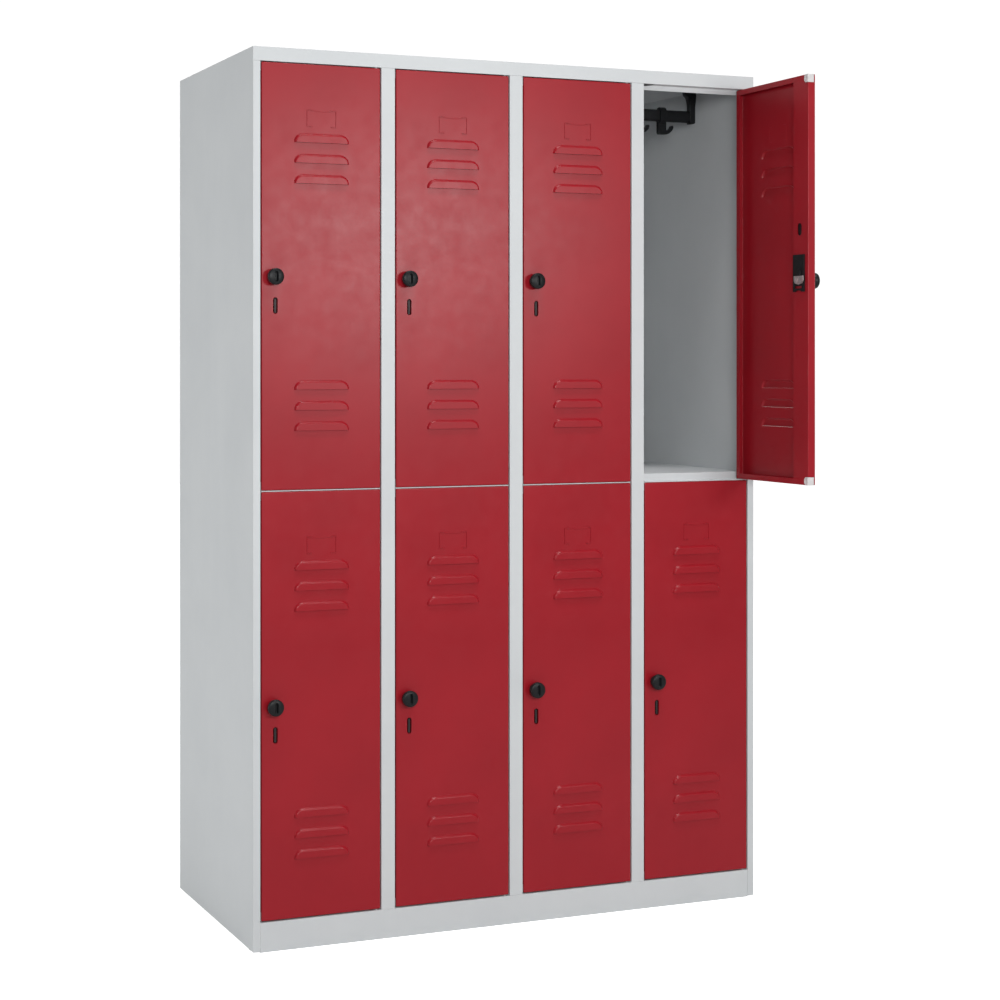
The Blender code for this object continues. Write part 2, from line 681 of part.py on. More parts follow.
def make_buffer(name, top, white, parent):
    """White plug in the corner of the pan's free edge, a little proud of the lip."""
    plug = add_object(name, [along_y(buffer_outline(0.0, top), BUFFER_FRONT, DOOR_BACK + BUFFER_PROUD)],
                      white)
    middle_z = DOOR_HEIGHT - BUFFER_HEIGHT / 2 if top else BUFFER_HEIGHT / 2
    dimple = circle((FREE_EDGE + BUFFER_REACH / 2, middle_z), DIMPLE_RADIUS, ROUND_STEPS)
    cut(plug, along_y(dimple, DOOR_BACK + BUFFER_PROUD - DIMPLE_DEPTH, FAR))
    plug.parent = parent
    return plug


def door_name(column, tier):
    return "%s_%d" % (("lower", "upper")[tier], column + 1)


def make_doors(red, black, zinc, white):
    door_mesh = make_door_mesh(red)
    knob_mesh = make_knob_mesh(black)
    cam_mesh = make_cam_mesh(zinc)
    hasp_mesh = make_hasp_mesh(zinc)
    for column in range(COLUMNS):
        for tier in range(len(DOOR_BOTTOMS)):
            label = door_name(column, tier)
            axis = bpy.data.objects.new("hinge_axis_" + label, None)
            bpy.context.scene.collection.objects.link(axis)
            axis.location = (hinge_x(column), FRONT + HINGE_INSET, DOOR_BOTTOMS[tier])
            if (column, tier) == OPEN_DOOR:
                axis.rotation_euler.z = OPEN_ANGLE
                make_lock_case(black, axis)
                make_buffer("buffer_top", True, white, axis)
                make_buffer("buffer_bottom", False, white, axis)
            place_mesh("door_" + label, door_mesh, parent=axis)
            for piece, mesh in (("knob_", knob_mesh), ("latch_cam_", cam_mesh), ("hasp_", hasp_mesh)):
                placed = place_mesh(piece + label, mesh, parent=axis)
                placed.location = (KNOB_X, 0.0, KNOB_Z)


# --- Coat rails --------------------------------------------------------------------------------

def rail_outline(grow):
    return stadium((0.0, 0.0), RAIL_HALF_DEPTH + grow, RAIL_HALF_HEIGHT + grow, SLOT_STEPS)


def bracket_shape(mirror):
    """Hanger from the ceiling: a foot that flares towards the middle and a block round the rail."""
    outer = BRACKET_EDGE
    inner = outer + BRACKET_WIDTH
    foot = outer + BRACKET_FOOT
    bottom = -RAIL_HALF_HEIGHT - BRACKET_WALL
    top = RAIL_DROP - GAP
    outline = [(outer + BRACKET_DRAFT, bottom), (inner, bottom), (inner, top - SHOULDER_DROP),
               (foot - FOOT_TAPER, top - FLARE_DROP), (foot, top - FOOT_HEIGHT), (foot, top),
               (outer, top)]
    if mirror:
        outline = [(PITCH - x, z) for x, z in outline]
    return along_y(outline, -BRACKET_HALF_DEPTH, BRACKET_HALF_DEPTH)


def hook_outline():
    """Stem and prong from the side: a flat foot that curls up into the tip."""
    top = -RAIL_HALF_HEIGHT - HOOK_WALL / 2
    stem = [(-HOOK_HALF, top), (-HOOK_HALF, -HOOK_STEM)]
    return stem + list(PRONG) + [(HOOK_HALF, -PRONG_ROOT), (HOOK_HALF, top)]


def collar_shape():
    return along_x(rail_outline(HOOK_WALL), -COLLAR_HALF, COLLAR_HALF)


def make_hook(name, place, centre, black):
    """Sliding hook: a collar round the rail and a flat curled prong below it."""
    hook = add_object(name, [collar_shape()], black)
    unite(hook, along_y(hook_outline(), -HOOK_THICKNESS / 2, HOOK_THICKNESS / 2))
    cut(hook, along_x(rail_outline(GAP), -FAR, FAR))
    hook.location = (place, centre[1], centre[2])
    return hook


def make_open_rail(centre, black):
    """Rail, two brackets and three hooks as separate pieces."""
    rail = add_object("coat_rail", [along_x(rail_outline(0.0), *RAIL_ENDS)], black)
    rail.location = centre
    for name, mirror in (("rail_bracket_left", False), ("rail_bracket_right", True)):
        bracket = add_object(name, [bracket_shape(mirror)], black)
        start = PITCH - RAIL_ENDS[1] - GAP
        cut(bracket, along_x(rail_outline(GAP), start, PITCH - start))
        bracket.location = centre
    for number, place in enumerate(HOOK_PLACES, start=1):
        make_hook("coat_hook_%d" % number, centre[0] + place, centre, black)


def make_joined_rail_mesh(black):
    """The same rail, brackets and hooks as one body, for the compartments behind closed doors."""
    unit = add_object("coat_rail_unit", [along_x(rail_outline(0.0), *RAIL_ENDS)], black)
    unite(unit, bracket_shape(False), bracket_shape(True))
    for place in HOOK_PLACES:
        unite(unit, shifted(collar_shape(), (place, 0.0, 0.0)))
        prong = along_y(hook_outline(), -HOOK_THICKNESS / 2, HOOK_THICKNESS / 2)
        unite(unit, shifted(prong, (place, 0.0, 0.0)))
    mesh = unit.data
    bpy.data.objects.remove(unit)
    return mesh


def make_rails(black):
    joined = make_joined_rail_mesh(black)
    for column in range(COLUMNS):
        for tier, ceiling in enumerate(CEILINGS):
            centre = Vector((column_left(column), RAIL_Y, ceiling - RAIL_DROP))
            if (column, tier) == OPEN_DOOR:
                make_open_rail(centre, black)
            else:
                placed = place_mesh("coat_rail_" + door_name(column, tier), joined)
                placed.location = centre


def main():
    clear_scene()
    grey = make_material("carcass_paint", PAINT_GREY, GREY_ROUGHNESS)
    red = make_material("door_paint", PAINT_RED, RED_ROUGHNESS)
    black = make_material("black_plastic", PLASTIC_BLACK, BLACK_ROUGHNESS)
    white = make_material("white_plastic", PLASTIC_WHITE, WHITE_ROUGHNESS)
    zinc = make_material("zinc_steel", ZINC, ZINC_ROUGHNESS, 1.0)
    make_carcass(grey)
    make_doors(red, black, zinc, white)
    make_rails(black)


main()
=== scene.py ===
import json
from math import cos, pi, radians, sin

import bmesh
import bpy
from mathutils import Matrix, Vector


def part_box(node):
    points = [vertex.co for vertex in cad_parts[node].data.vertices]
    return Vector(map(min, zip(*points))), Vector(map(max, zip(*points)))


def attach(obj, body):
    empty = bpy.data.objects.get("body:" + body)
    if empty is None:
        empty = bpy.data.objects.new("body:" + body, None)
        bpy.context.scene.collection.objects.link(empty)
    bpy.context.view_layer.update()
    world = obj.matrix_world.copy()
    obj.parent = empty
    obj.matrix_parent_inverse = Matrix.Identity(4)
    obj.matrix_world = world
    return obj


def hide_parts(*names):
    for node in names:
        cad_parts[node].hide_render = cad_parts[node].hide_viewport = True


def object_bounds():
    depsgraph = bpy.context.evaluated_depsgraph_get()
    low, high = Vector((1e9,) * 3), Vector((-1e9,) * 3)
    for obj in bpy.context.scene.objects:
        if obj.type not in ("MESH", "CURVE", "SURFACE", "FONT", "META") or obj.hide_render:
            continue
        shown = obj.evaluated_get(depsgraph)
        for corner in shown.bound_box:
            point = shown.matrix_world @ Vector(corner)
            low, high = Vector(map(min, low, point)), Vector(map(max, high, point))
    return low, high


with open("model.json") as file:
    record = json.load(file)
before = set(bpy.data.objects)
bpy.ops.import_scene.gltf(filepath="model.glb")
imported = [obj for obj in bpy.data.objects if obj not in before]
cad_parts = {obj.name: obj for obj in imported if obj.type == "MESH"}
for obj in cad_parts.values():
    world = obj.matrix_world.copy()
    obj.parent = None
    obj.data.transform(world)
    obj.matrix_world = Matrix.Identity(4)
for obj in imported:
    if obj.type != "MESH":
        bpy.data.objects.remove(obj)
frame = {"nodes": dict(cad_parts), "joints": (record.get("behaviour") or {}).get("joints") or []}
cad_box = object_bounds()

MM = 0.001

# --- Places read from the frame ----------------------------------------------------------------

COLUMNS = (1, 2, 3, 4)
TIERS = ("lower", "upper")
LABELS = ["%s_%d" % (tier, column) for tier in TIERS for column in COLUMNS]
OPEN_LABEL = "upper_4"
OPEN_TURN = Matrix.Rotation(radians(90), 4, "Z")
JOINTS = {joint["name"]: joint for joint in frame["joints"]}

PITCH = 300 * MM
HALF_STILE = 15.5 * MM
SHEET = 0.8 * MM
DOOR_SHEET = 1.0 * MM
CLEARANCE = 0.3 * MM
DOOR_LOW, DOOR_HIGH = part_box("door_lower_1")
DOOR_WIDTH = DOOR_HIGH.x - DOOR_LOW.x
DOOR_HEIGHT = DOOR_HIGH.z - DOOR_LOW.z
KNOB_JOINT = Vector(JOINTS["knob_lower_1_turn"]["pos_m"])
HINGE_JOINT = Vector(JOINTS["door_lower_1_hinge"]["pos_m"])

# The door's own frame, as in the CAD: the hinge axis at x = 0, y = 0 and the bottom edge at z = 0
HINGE_EDGE = DOOR_HIGH.x - HINGE_JOINT.x
FREE_EDGE = HINGE_EDGE - DOOR_WIDTH
DOOR_FACE = -7.0 * MM
DOOR_BACK = 11.0 * MM
KNOB_X = KNOB_JOINT.x - HINGE_JOINT.x
SLOT_OFFSET = 4.5 * MM
SLOT_X = KNOB_X + SLOT_OFFSET
KNOB_Z = KNOB_JOINT.z - DOOR_LOW.z
DOOR_MIDDLE = FREE_EDGE + DOOR_WIDTH / 2


def door_matrix(label):
    """From the door's own frame to its place at rest."""
    hinge = Vector(JOINTS["door_%s_hinge" % label]["pos_m"])
    hinge.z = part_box("door_" + label)[0].z
    turn = OPEN_TURN if label == OPEN_LABEL else Matrix.Identity(4)
    return Matrix.Translation(hinge) @ turn


# --- Materials ---------------------------------------------------------------------------------

EDGE_SAMPLES = 4
EDGE_LEANS = (0.80, 0.99)


class Nodes:
    """A short hand for building one material's node tree."""

    def __init__(self, name):
        self.material = bpy.data.materials.new(name)
        self.material.use_nodes = True
        self.tree = self.material.node_tree
        self.shader = self.tree.nodes["Principled BSDF"]

    def add(self, kind, **values):
        node = self.tree.nodes.new(kind)
        for key, value in values.items():
            if hasattr(node, key):
                setattr(node, key, value)
            else:
                node.inputs[key.replace("_", " ")].default_value = value
        return node

    def link(self, output, target):
        self.tree.links.new(output, target)

    def place(self, scale=(1.0, 1.0, 1.0)):
        """Object coordinates, which are metres and stay with the piece as it moves."""
        mapping = self.add("ShaderNodeMapping")
        mapping.inputs["Scale"].default_value = scale
        self.link(self.add("ShaderNodeTexCoord").outputs["Object"], mapping.inputs["Vector"])
        return mapping.outputs["Vector"]

    def noise(self, scale, detail=3.0, roughness=0.55, stretch=(1.0, 1.0, 1.0)):
        node = self.add("ShaderNodeTexNoise", Scale=scale, Detail=detail, Roughness=roughness)
        self.link(self.place(stretch), node.inputs["Vector"])
        return node.outputs["Fac"]

    def spread(self, value, low, high, start=0.3, stop=0.7):
        """Map a texture's middle range to low..high."""
        node = self.add("ShaderNodeMapRange")
        limits = {"From Min": start, "From Max": stop, "To Min": low, "To Max": high}
        for name, number in limits.items():
            node.inputs[name].default_value = number
        self.link(value, node.inputs["Value"])
        return node.outputs["Result"]

    def mix(self, factor, first, second):
        node = self.add("ShaderNodeMix", data_type="RGBA")
        colours = [socket for socket in node.inputs if socket.type == "RGBA"]
        for socket, value in zip(colours, (first, second)):
            if isinstance(value, tuple):
                socket.default_value = (*value, 1.0)
            else:
                self.link(value, socket)
        self.link(factor, node.inputs["Factor"])
        return [socket for socket in node.outputs if socket.type == "RGBA"][0]

    def edge_wear(self, radius, low, high):
        """How far the rounded normal leans from the face normal: low on flats, high on edges."""
        bevel = self.add("ShaderNodeBevel", samples=EDGE_SAMPLES)
        bevel.inputs["Radius"].default_value = radius
        dot = self.add("ShaderNodeVectorMath", operation="DOT_PRODUCT")
        self.link(bevel.outputs["Normal"], dot.inputs[0])
        self.link(self.add("ShaderNodeNewGeometry").outputs["Normal"], dot.inputs[1])
        return self.spread(dot.outputs["Value"], high, low, *EDGE_LEANS)

    def bump(self, height, distance, strength, previous=None):
        node = self.add("ShaderNodeBump", Strength=strength, Distance=distance)
        self.link(height, node.inputs["Height"])
        if previous is not None:
            self.link(previous, node.inputs["Normal"])
        return node.outputs["Normal"]

    def finish(self, colour, roughness, normal, metallic=0.0, specular=0.5):
        self.link(colour, self.shader.inputs["Base Color"])
        self.link(roughness, self.shader.inputs["Roughness"])
        self.link(normal, self.shader.inputs["Normal"])
        self.shader.inputs["Metallic"].default_value = metallic
        self.shader.inputs["Specular IOR Level"].default_value = specular
        return self.material


def powder_coat(name, light, dark, rubbed, rough, specular):
    """Satin powder coat: orange peel, fine grain, faint clouding and thinner paint on folds."""
    n = Nodes(name)
    clouds = n.spread(n.noise(5.0, detail=4.0), low=0.0, high=1.0, start=0.35, stop=0.65)
    colour = n.mix(clouds, dark, light)
    streaks = n.noise(9.0, detail=5.0, roughness=0.6, stretch=(1.0, 1.0, 0.12))
    colour = n.mix(n.spread(streaks, low=0.0, high=0.25, start=0.55, stop=0.8), colour, rubbed)
    colour = n.mix(n.edge_wear(0.9 * MM, low=0.0, high=0.45), colour, rubbed)
    roughness = n.spread(n.noise(30.0, detail=4.0), low=rough - 0.03, high=rough + 0.03)
    peel = n.bump(n.noise(420.0, detail=2.0), distance=0.06 * MM, strength=0.35)
    grain = n.bump(n.noise(2400.0, detail=2.0), distance=0.02 * MM, strength=0.30, previous=peel)
    return n.finish(colour, roughness, grain, specular=specular)


def moulded_plastic(name, light, dark, rubbed, rough, specular):
    """Spark-eroded plastic: fine grain, rubbed edges and faint handling marks."""
    n = Nodes(name)
    colour = n.mix(n.spread(n.noise(140.0, detail=4.0), low=0.0, high=1.0), dark, light)
    marks = n.noise(260.0, detail=5.0, roughness=0.65, stretch=(1.0, 1.0, 0.2))
    colour = n.mix(n.spread(marks, low=0.0, high=0.5, start=0.6, stop=0.78), colour, rubbed)
    colour = n.mix(n.edge_wear(0.5 * MM, low=0.0, high=0.6), colour, rubbed)
    roughness = n.spread(n.noise(600.0), low=rough - 0.06, high=rough + 0.08)
    grain = n.bump(n.noise(3500.0), distance=0.03 * MM, strength=0.5)
    return n.finish(colour, roughness, grain, specular=specular)


def zinc_plate(name, light, dark, stained, rough):
    """Zinc on pressed steel: small spangles, rolling lines and dulled patches."""
    n = Nodes(name)
    spangle = n.add("ShaderNodeTexVoronoi", Scale=420.0)
    n.link(n.place(), spangle.inputs["Vector"])
    grey = n.add("ShaderNodeRGBToBW")
    n.link(spangle.outputs["Color"], grey.inputs["Color"])
    value = grey.outputs["Val"]
    colour = n.mix(n.spread(value, low=0.0, high=1.0, start=0.2, stop=0.8), dark, light)
    dull = n.spread(n.noise(90.0, detail=4.0), low=0.0, high=0.6, start=0.5, stop=0.75)
    colour = n.mix(dull, colour, stained)
    roughness = n.spread(value, low=rough - 0.09, high=rough + 0.09, start=0.2, stop=0.8)
    lines = n.noise(900.0, roughness=0.6, stretch=(0.05, 1.0, 1.0))
    rolled = n.bump(lines, distance=0.02 * MM, strength=0.4)
    return n.finish(colour, roughness, rolled, metallic=1.0)


GREY_PAINT = powder_coat("carcass_powder_coat", light=(0.600, 0.622, 0.632),
                         dark=(0.575, 0.598, 0.610), rubbed=(0.66, 0.68, 0.69),
                         rough=0.46, specular=0.3)
RED_PAINT = powder_coat("door_powder_coat", light=(0.325, 0.0085, 0.0165),
                        dark=(0.295, 0.0072, 0.0145), rubbed=(0.36, 0.016, 0.026),
                        rough=0.33, specular=0.3)
BLACK_PLASTIC = moulded_plastic("black_moulding", light=(0.011, 0.012, 0.013),
                                dark=(0.007, 0.008, 0.009), rubbed=(0.024, 0.025, 0.027),
                                rough=0.38, specular=0.22)
WHITE_PLASTIC = moulded_plastic("white_moulding", light=(0.66, 0.64, 0.64),
                                dark=(0.60, 0.58, 0.58), rubbed=(0.72, 0.70, 0.70),
                                rough=0.45, specular=0.4)
ZINC = zinc_plate("zinc_plated_steel", light=(0.70, 0.69, 0.68), dark=(0.50, 0.49, 0.49),
                  stained=(0.42, 0.40, 0.40), rough=0.40)
DULL_ZINC = zinc_plate("dull_zinc_steel", light=(0.07, 0.06, 0.06), dark=(0.05, 0.045, 0.045),
                       stained=(0.04, 0.035, 0.035), rough=0.55)


# --- Mesh helpers ------------------------------------------------------------------------------

SHARP = radians(38)
SOFT = radians(30)
FLAT = 0.99999
ROUND_STEPS = 24
END_STEPS = 10


def ellipse_arc(centre, radii, start, stop, steps):
    """Points on an ellipse from one angle to another, both ends included."""
    angles = [start + (stop - start) * step / steps for step in range(steps + 1)]
    return [(centre[0] + radii[0] * cos(angle), centre[1] + radii[1] * sin(angle))
            for angle in angles]


def circle(centre, radius, steps=ROUND_STEPS):
    return ellipse_arc(centre, (radius, radius), 0.0, 2 * pi, steps)[:-1]


def stadium(centre, half_width, half_height, steps=END_STEPS):
    """A slot outline with round ends, taller than it is wide."""
    rise, radii = half_height - half_width, (half_width, half_width)
    top = ellipse_arc((centre[0], centre[1] + rise), radii, 0.0, pi, steps)
    bottom = ellipse_arc((centre[0], centre[1] - rise), radii, pi, 2 * pi, steps)
    return top + bottom


def rectangle(low, high):
    return [(high[0], low[1]), (high[0], high[1]), (low[0], high[1]), (low[0], low[1])]


def in_mm(*points):
    """Points given in millimetres, as metres."""
    return [(x * MM, z * MM) for x, z in points]


def ring_of(shape, outline, level):
    """A ring of vertices in the plane y = level, from (x, z) points."""
    return [shape.verts.new((x, level, z)) for x, z in outline]


def bridge(shape, near, far, closed=True):
    count = len(near)
    for start in range(count if closed else count - 1):
        stop = (start + 1) % count
        shape.faces.new((near[start], near[stop], far[stop], far[start]))


def stacked(levels):
    """A closed solid through rings of (outline, y), all with the same number of points."""
    shape = bmesh.new()
    rings = [ring_of(shape, outline, level) for outline, level in levels]
    for near, far in zip(rings, rings[1:]):
        bridge(shape, near, far)
    shape.faces.new(rings[0])
    shape.faces.new(rings[-1])
    bmesh.ops.recalc_face_normals(shape, faces=shape.faces)
    return shape


def drawn(outline, near, far):
    """A closed solid of one outline, from one depth to another."""
    return stacked([(outline, near), (outline, far)])


def along_x(outline, low, high):
    """A closed solid of the outline of (y, z) corners, drawn out along X."""
    shape = bmesh.new()
    rings = [[shape.verts.new((x, y, z)) for y, z in outline] for x in (low, high)]
    bridge(shape, *rings)
    for ring in rings:
        shape.faces.new(ring)
    bmesh.ops.recalc_face_normals(shape, faces=shape.faces)
    return shape


def to_mesh(shape, name, material):
    mesh = bpy.data.meshes.new(name)
    shape.to_mesh(mesh)
    shape.free()
    mesh.materials.append(material)
    return mesh


def hold_flats(mesh):
    """Give every corner beside a flat face that face's normal, so that broad sheets shade flat."""
    flats = {}
    for face in mesh.polygons:
        if max(abs(part) for part in face.normal) > FLAT:
            for vert in face.vertices:
                flats.setdefault(vert, []).append(face.normal.copy())
    normals = [corner.vector.copy() for corner in mesh.corner_normals]
    for face in mesh.polygons:
        for corner in face.loop_indices:
            for flat in flats.get(mesh.loops[corner].vertex_index, ()):
                if flat.dot(face.normal) > cos(SHARP):
                    normals[corner] = flat
    mesh.normals_split_custom_set(normals)


def finished(mesh):
    """Smooth shading with sharp folds and true flats."""
    mesh.shade_smooth()
    mesh.set_sharp_from_angle(angle=SHARP)
    hold_flats(mesh)
    return mesh


def place(name, mesh, matrix=Matrix.Identity(4)):
    thing = bpy.data.objects.new(name, mesh)
    bpy.context.scene.collection.objects.link(thing)
    thing.matrix_world = matrix
    return thing


def evaluated(thing):
    """The object's mesh with its modifiers applied; the object itself is removed."""
    graph = bpy.context.evaluated_depsgraph_get()
    mesh = bpy.data.meshes.new_from_object(thing.evaluated_get(graph))
    bpy.data.objects.remove(thing)
    return mesh


def softened(thing, width, segments=2, angle=SOFT):
    """The object's mesh with small rounded edges."""
    bevel = thing.modifiers.new("edges", "BEVEL")
    bevel.width = width
    bevel.segments = segments
    bevel.angle_limit = angle
    return finished(evaluated(thing))


def draft(name, shape, material):
    """An object to be worked on until its mesh is finished."""
    return place(name + "_draft", to_mesh(shape, name, material))


def combined(thing, shape, operation):
    """The object after a Boolean with the shape, as a new object."""
    tool = place("tool", to_mesh(shape, "tool", thing.data.materials[0]))
    modifier = thing.modifiers.new("boolean", "BOOLEAN")
    modifier.operation = operation
    modifier.object = tool
    name = thing.name
    mesh = evaluated(thing)
    bpy.data.objects.remove(tool)
    return place(name, mesh)


def add_piece(name, mesh, matrix, body, *replaced):
    """A new piece that rides on a body and may stand for CAD nodes."""
    thing = place(name, mesh, matrix)
    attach(thing, body)
    if replaced:
        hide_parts(*replaced)


# --- Carcass: the CAD sheets with real bend radii ----------------------------------------------

OUTER_FOLD = {"offset": 1.3 * MM, "segments": 4}
INNER_FOLD = {"offset": 0.5 * MM, "segments": 3}
FOLD_LENGTH = 40 * MM
FOLD_ANGLE = radians(60)
BROAD = 3 * MM
SAME_PLACE = 0.001 * MM
SAME_PLANE = radians(1)

# The black pad in each column's corner is painted shade: a black sheet that darkens the notch
# under the top rail, where there is only shadow. It is measured from the top rail's front
# (depths), from the stile beside it (sides) and from the rail's lower edge (heights, and how far
# its wedge hangs)
RAIL_HEIGHT = 29 * MM
SHADE_PAD_DEPTHS = (4.4 * MM, 21.4 * MM)
SHADE_PAD_SIDES = (0.4 * MM, 31.6 * MM)
SHADE_PAD_HEIGHTS = (0.1 * MM, 1.3 * MM)
SHADE_PAD_HANG = 3.7 * MM
SHADE_PAD_LIP = 1.2 * MM
SHADE_PAD_OVERLAP = 0.5 * MM
SHADE_PAD_EDGE = 0.15 * MM


def cleaned_copy(node):
    """The CAD node's mesh with its triangles merged back into flat faces."""
    shape = bmesh.new()
    shape.from_mesh(frame["nodes"][node].data)
    bmesh.ops.remove_doubles(shape, verts=shape.verts, dist=SAME_PLACE)
    bmesh.ops.dissolve_limit(shape, angle_limit=SAME_PLANE, verts=shape.verts, edges=shape.edges)
    return shape


def face_width(face, edge):
    """How far the face reaches away from one of its edges."""
    start = edge.verts[0].co
    along = (edge.verts[1].co - start).normalized()
    reaches = [vert.co - start for vert in face.verts]
    return max((reach - reach.dot(along) * along).length for reach in reaches)


def fold_edges(shape, convex):
    """Long edges between two broad faces: where the sheet is bent, not where it is cut."""
    found = []
    for edge in shape.edges:
        if len(edge.link_faces) != 2 or edge.is_convex != convex:
            continue
        if edge.calc_length() < FOLD_LENGTH or abs(edge.calc_face_angle_signed()) < FOLD_ANGLE:
            continue
        if min(face_width(face, edge) for face in edge.link_faces) > BROAD:
            found.append(edge)
    return found


def round_folds(shape):
    for convex, size in ((True, OUTER_FOLD), (False, INNER_FOLD)):
        edges = fold_edges(shape, convex)
        if edges:
            bmesh.ops.bevel(shape, geom=edges, offset_type="OFFSET", profile=0.5, affect="EDGES",
                            clamp_overlap=True, **size)


def make_carcass():
    sheets = ["side_panel_left", "side_panel_right", "roof_panel", "base_plinth"]
    sheets += ["partition_%d" % column for column in COLUMNS[:-1]]
    sheets += ["shelf_%d" % column for column in COLUMNS]
    for node in sheets:
        shape = cleaned_copy(node)
        round_folds(shape)
        mesh = finished(to_mesh(shape, node + "_sheet", GREY_PAINT))
        add_piece(node + "_sheet", mesh, Matrix.Identity(4), "carcass", node)


def make_corner_shade_pads():
    """Black sheet in the underside of the top rail, at each column's free corner: painted shade
    that darkens the notch and the rail's hollow there, which lie in shadow.
    """
    low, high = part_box("roof_panel")
    ledge = high.z - RAIL_HEIGHT
    near, lip = low.y + SHADE_PAD_DEPTHS[0], low.y + SHADE_PAD_DEPTHS[1]
    left, right = HALF_STILE + SHADE_PAD_SIDES[0], HALF_STILE + SHADE_PAD_SIDES[1]
    under, top = ledge + SHADE_PAD_HEIGHTS[0], ledge + SHADE_PAD_HEIGHTS[1]
    strip = rectangle((left, under), (right, top))
    wedge = [(right, under), (right, top), (left, top), (left, ledge - SHADE_PAD_HANG)]
    # Black plastic as painted shade: the strip and wedge stand in for the shadow in the notch
    shade_pad = draft("stop_pad", drawn(strip, near, lip + SHADE_PAD_OVERLAP), BLACK_PLASTIC)
    shade_pad = combined(shade_pad, drawn(wedge, lip, lip + SHADE_PAD_LIP), "UNION")
    mesh = softened(shade_pad, SHADE_PAD_EDGE)
    for column in COLUMNS:
        edge = Vector((PITCH * (column - 1 - len(COLUMNS) / 2), 0.0, 0.0))
        add_piece("stop_pad_%d" % column, mesh, Matrix.Translation(edge), "carcass")


# --- Doors -------------------------------------------------------------------------------------

LOUVRE_HALF = 61 * MM
LOUVRE_HEIGHT = 19 * MM
LOUVRE_CORNER = (21 * MM, 17 * MM)
LOUVRE_RISE = 4.5 * MM
LOUVRE_PITCH = 42.2 * MM
LOUVRE_ROWS = (121.5 * MM, 630 * MM)
LOUVRES_PER_ROW = 3
LOUVRE_FOOT = (0.25 * MM, 0.12 * MM)
LOUVRE_SLOPE = ((0.35 * MM, 0.45 * MM), (3.3 * MM, LOUVRE_RISE - 0.75 * MM))
LOUVRE_SHOULDER = (1.9 * MM, 0.75 * MM)
SHOULDER_STEPS = 5

LABEL_BOTTOM = 748 * MM
LABEL_HALF = 32 * MM
LABEL_HEIGHT = 34 * MM
LABEL_FOOT = 11 * MM
DIP_DROP = 1.2 * MM
DIP_DEPTH = 1.6 * MM
DIP_STEPS = 12
# Half width and height of a rib, and the share of its width that is flat on top
BRACKET_RIB = (1.1 * MM, 1.1 * MM, 0.45)
DIP_RIB = (1.0 * MM, 0.5 * MM, 0.45)
TRACE_RIB = (0.8 * MM, 0.25 * MM, 0.3)
RIB_ROOT = 0.2 * MM

FOLD_RADIUS = 2.0 * MM
REAR_RADIUS = 1.2 * MM
FRONT_FOLD_STEPS = 5
REAR_FOLD_STEPS = 4
CORNER_STEPS = 3
CORNER_SHRINK = 0.5
LIP_CORNER = 0.6 * MM
FREE_LIP = 52 * MM
HINGE_LIP = 14 * MM
END_LIP = 12 * MM
KNOB_HOLE = 5.5 * MM
KNOB_HOLE_STEPS = 28
SLOT_Z = 378 * MM
SLOT_HALF = (5 * MM, 17 * MM)
LIP_HOLE_Z = 547 * MM
LIP_HOLE_HALF = (7 * MM, 13.5 * MM)
LIP_MARGIN = 3 * MM
# The black strip behind the oblong lip hole is painted shade for the shadowed space between lip
# and skin
SHADE_STRIP_HALF = (14 * MM, 19 * MM)
SHADE_STRIP_PLATE = 1 * MM
SHADE_STRIP_SETBACK = 3.4 * MM

# Radius and depth in millimetres: behind the knob's front, then behind the door's face
KNOB_WAIST = ((17, 8.6), (16.6, 9.6), (14, 12.4), (12.4, 14.6))
KNOB_NECK = ((11.8, -3), (11.7, -1.2), (12, -0.8), (12, -0.3), (5, -0.3), (5, 1.3))
KNOB_REACH = 20.5 * MM
KNOB_RADIUS = 17 * MM
KNOB_DOME = 3.8 * MM
KNOB_CROWN = 1 * MM
KNOB_PEAK = 0.2 * MM
DOME_STEPS = 8
KNOB_STEPS = 48
# Half width, half height and depth of the groove's rings, in millimetres
KNOB_GROOVE = ((4.6, 12.4, -2.5), (3.4, 11.2, 0.3), (2.0, 9.4, 3.4), (1.0, 8.0, 4.6))

BUFFER_HEIGHT = 17.4 * MM
BUFFER_REACH = 12.3 * MM
BUFFER_CHAMFER = 4 * MM
BUFFER_FRONT = DOOR_FACE + 3.6 * MM
BUFFER_PROUD = 1.7 * MM
# Radius and depth of each ring of a dimple
BUFFER_DIMPLE = ((4.0 * MM, -0.1 * MM), (3.5 * MM, 0.6 * MM), (1.5 * MM, 1.2 * MM))
SHIELD_DIMPLE = ((5.5 * MM, -0.1 * MM), (5.0 * MM, 0.2 * MM), (2.5 * MM, 0.6 * MM))

CASE_HALF = 19 * MM
CASE_BELOW = -23.7 * MM
CASE_ABOVE = 55.8 * MM
CASE_WALL = 1.2 * MM
CASE_FRONT = DOOR_BACK + CLEARANCE
CASE_BACK = CASE_FRONT + 3.4 * MM
CASE_BORE = 4.9 * MM
CASE_ARCH = (10.5 * MM, 10.6 * MM)
ARCH_SQUASH = 0.3
RECESS_HALF = 12 * MM
RECESS_HEIGHTS = (-16.5 * MM, -11.5 * MM)
BEYOND = 5 * MM
TONGUE_FACE = CASE_BACK + CLEARANCE
SHIELD_FACE = TONGUE_FACE + 1.5 * MM
SHIELD_PLATE = 1.2 * MM
SPINDLE_RADIUS = 4 * MM
SPINDLE_START = 1.6 * MM
TONGUE = ((7, -7), (7, 19), (3, 25), (-3, 25), (-7, 19), (-7, -7))
TONGUE_OVERLAP = 0.5 * MM
SHIELD_SIDE = ((16.5, 10), (16.5, 0), (12.5, -6))
SHIELD_TIP = (0, -9)

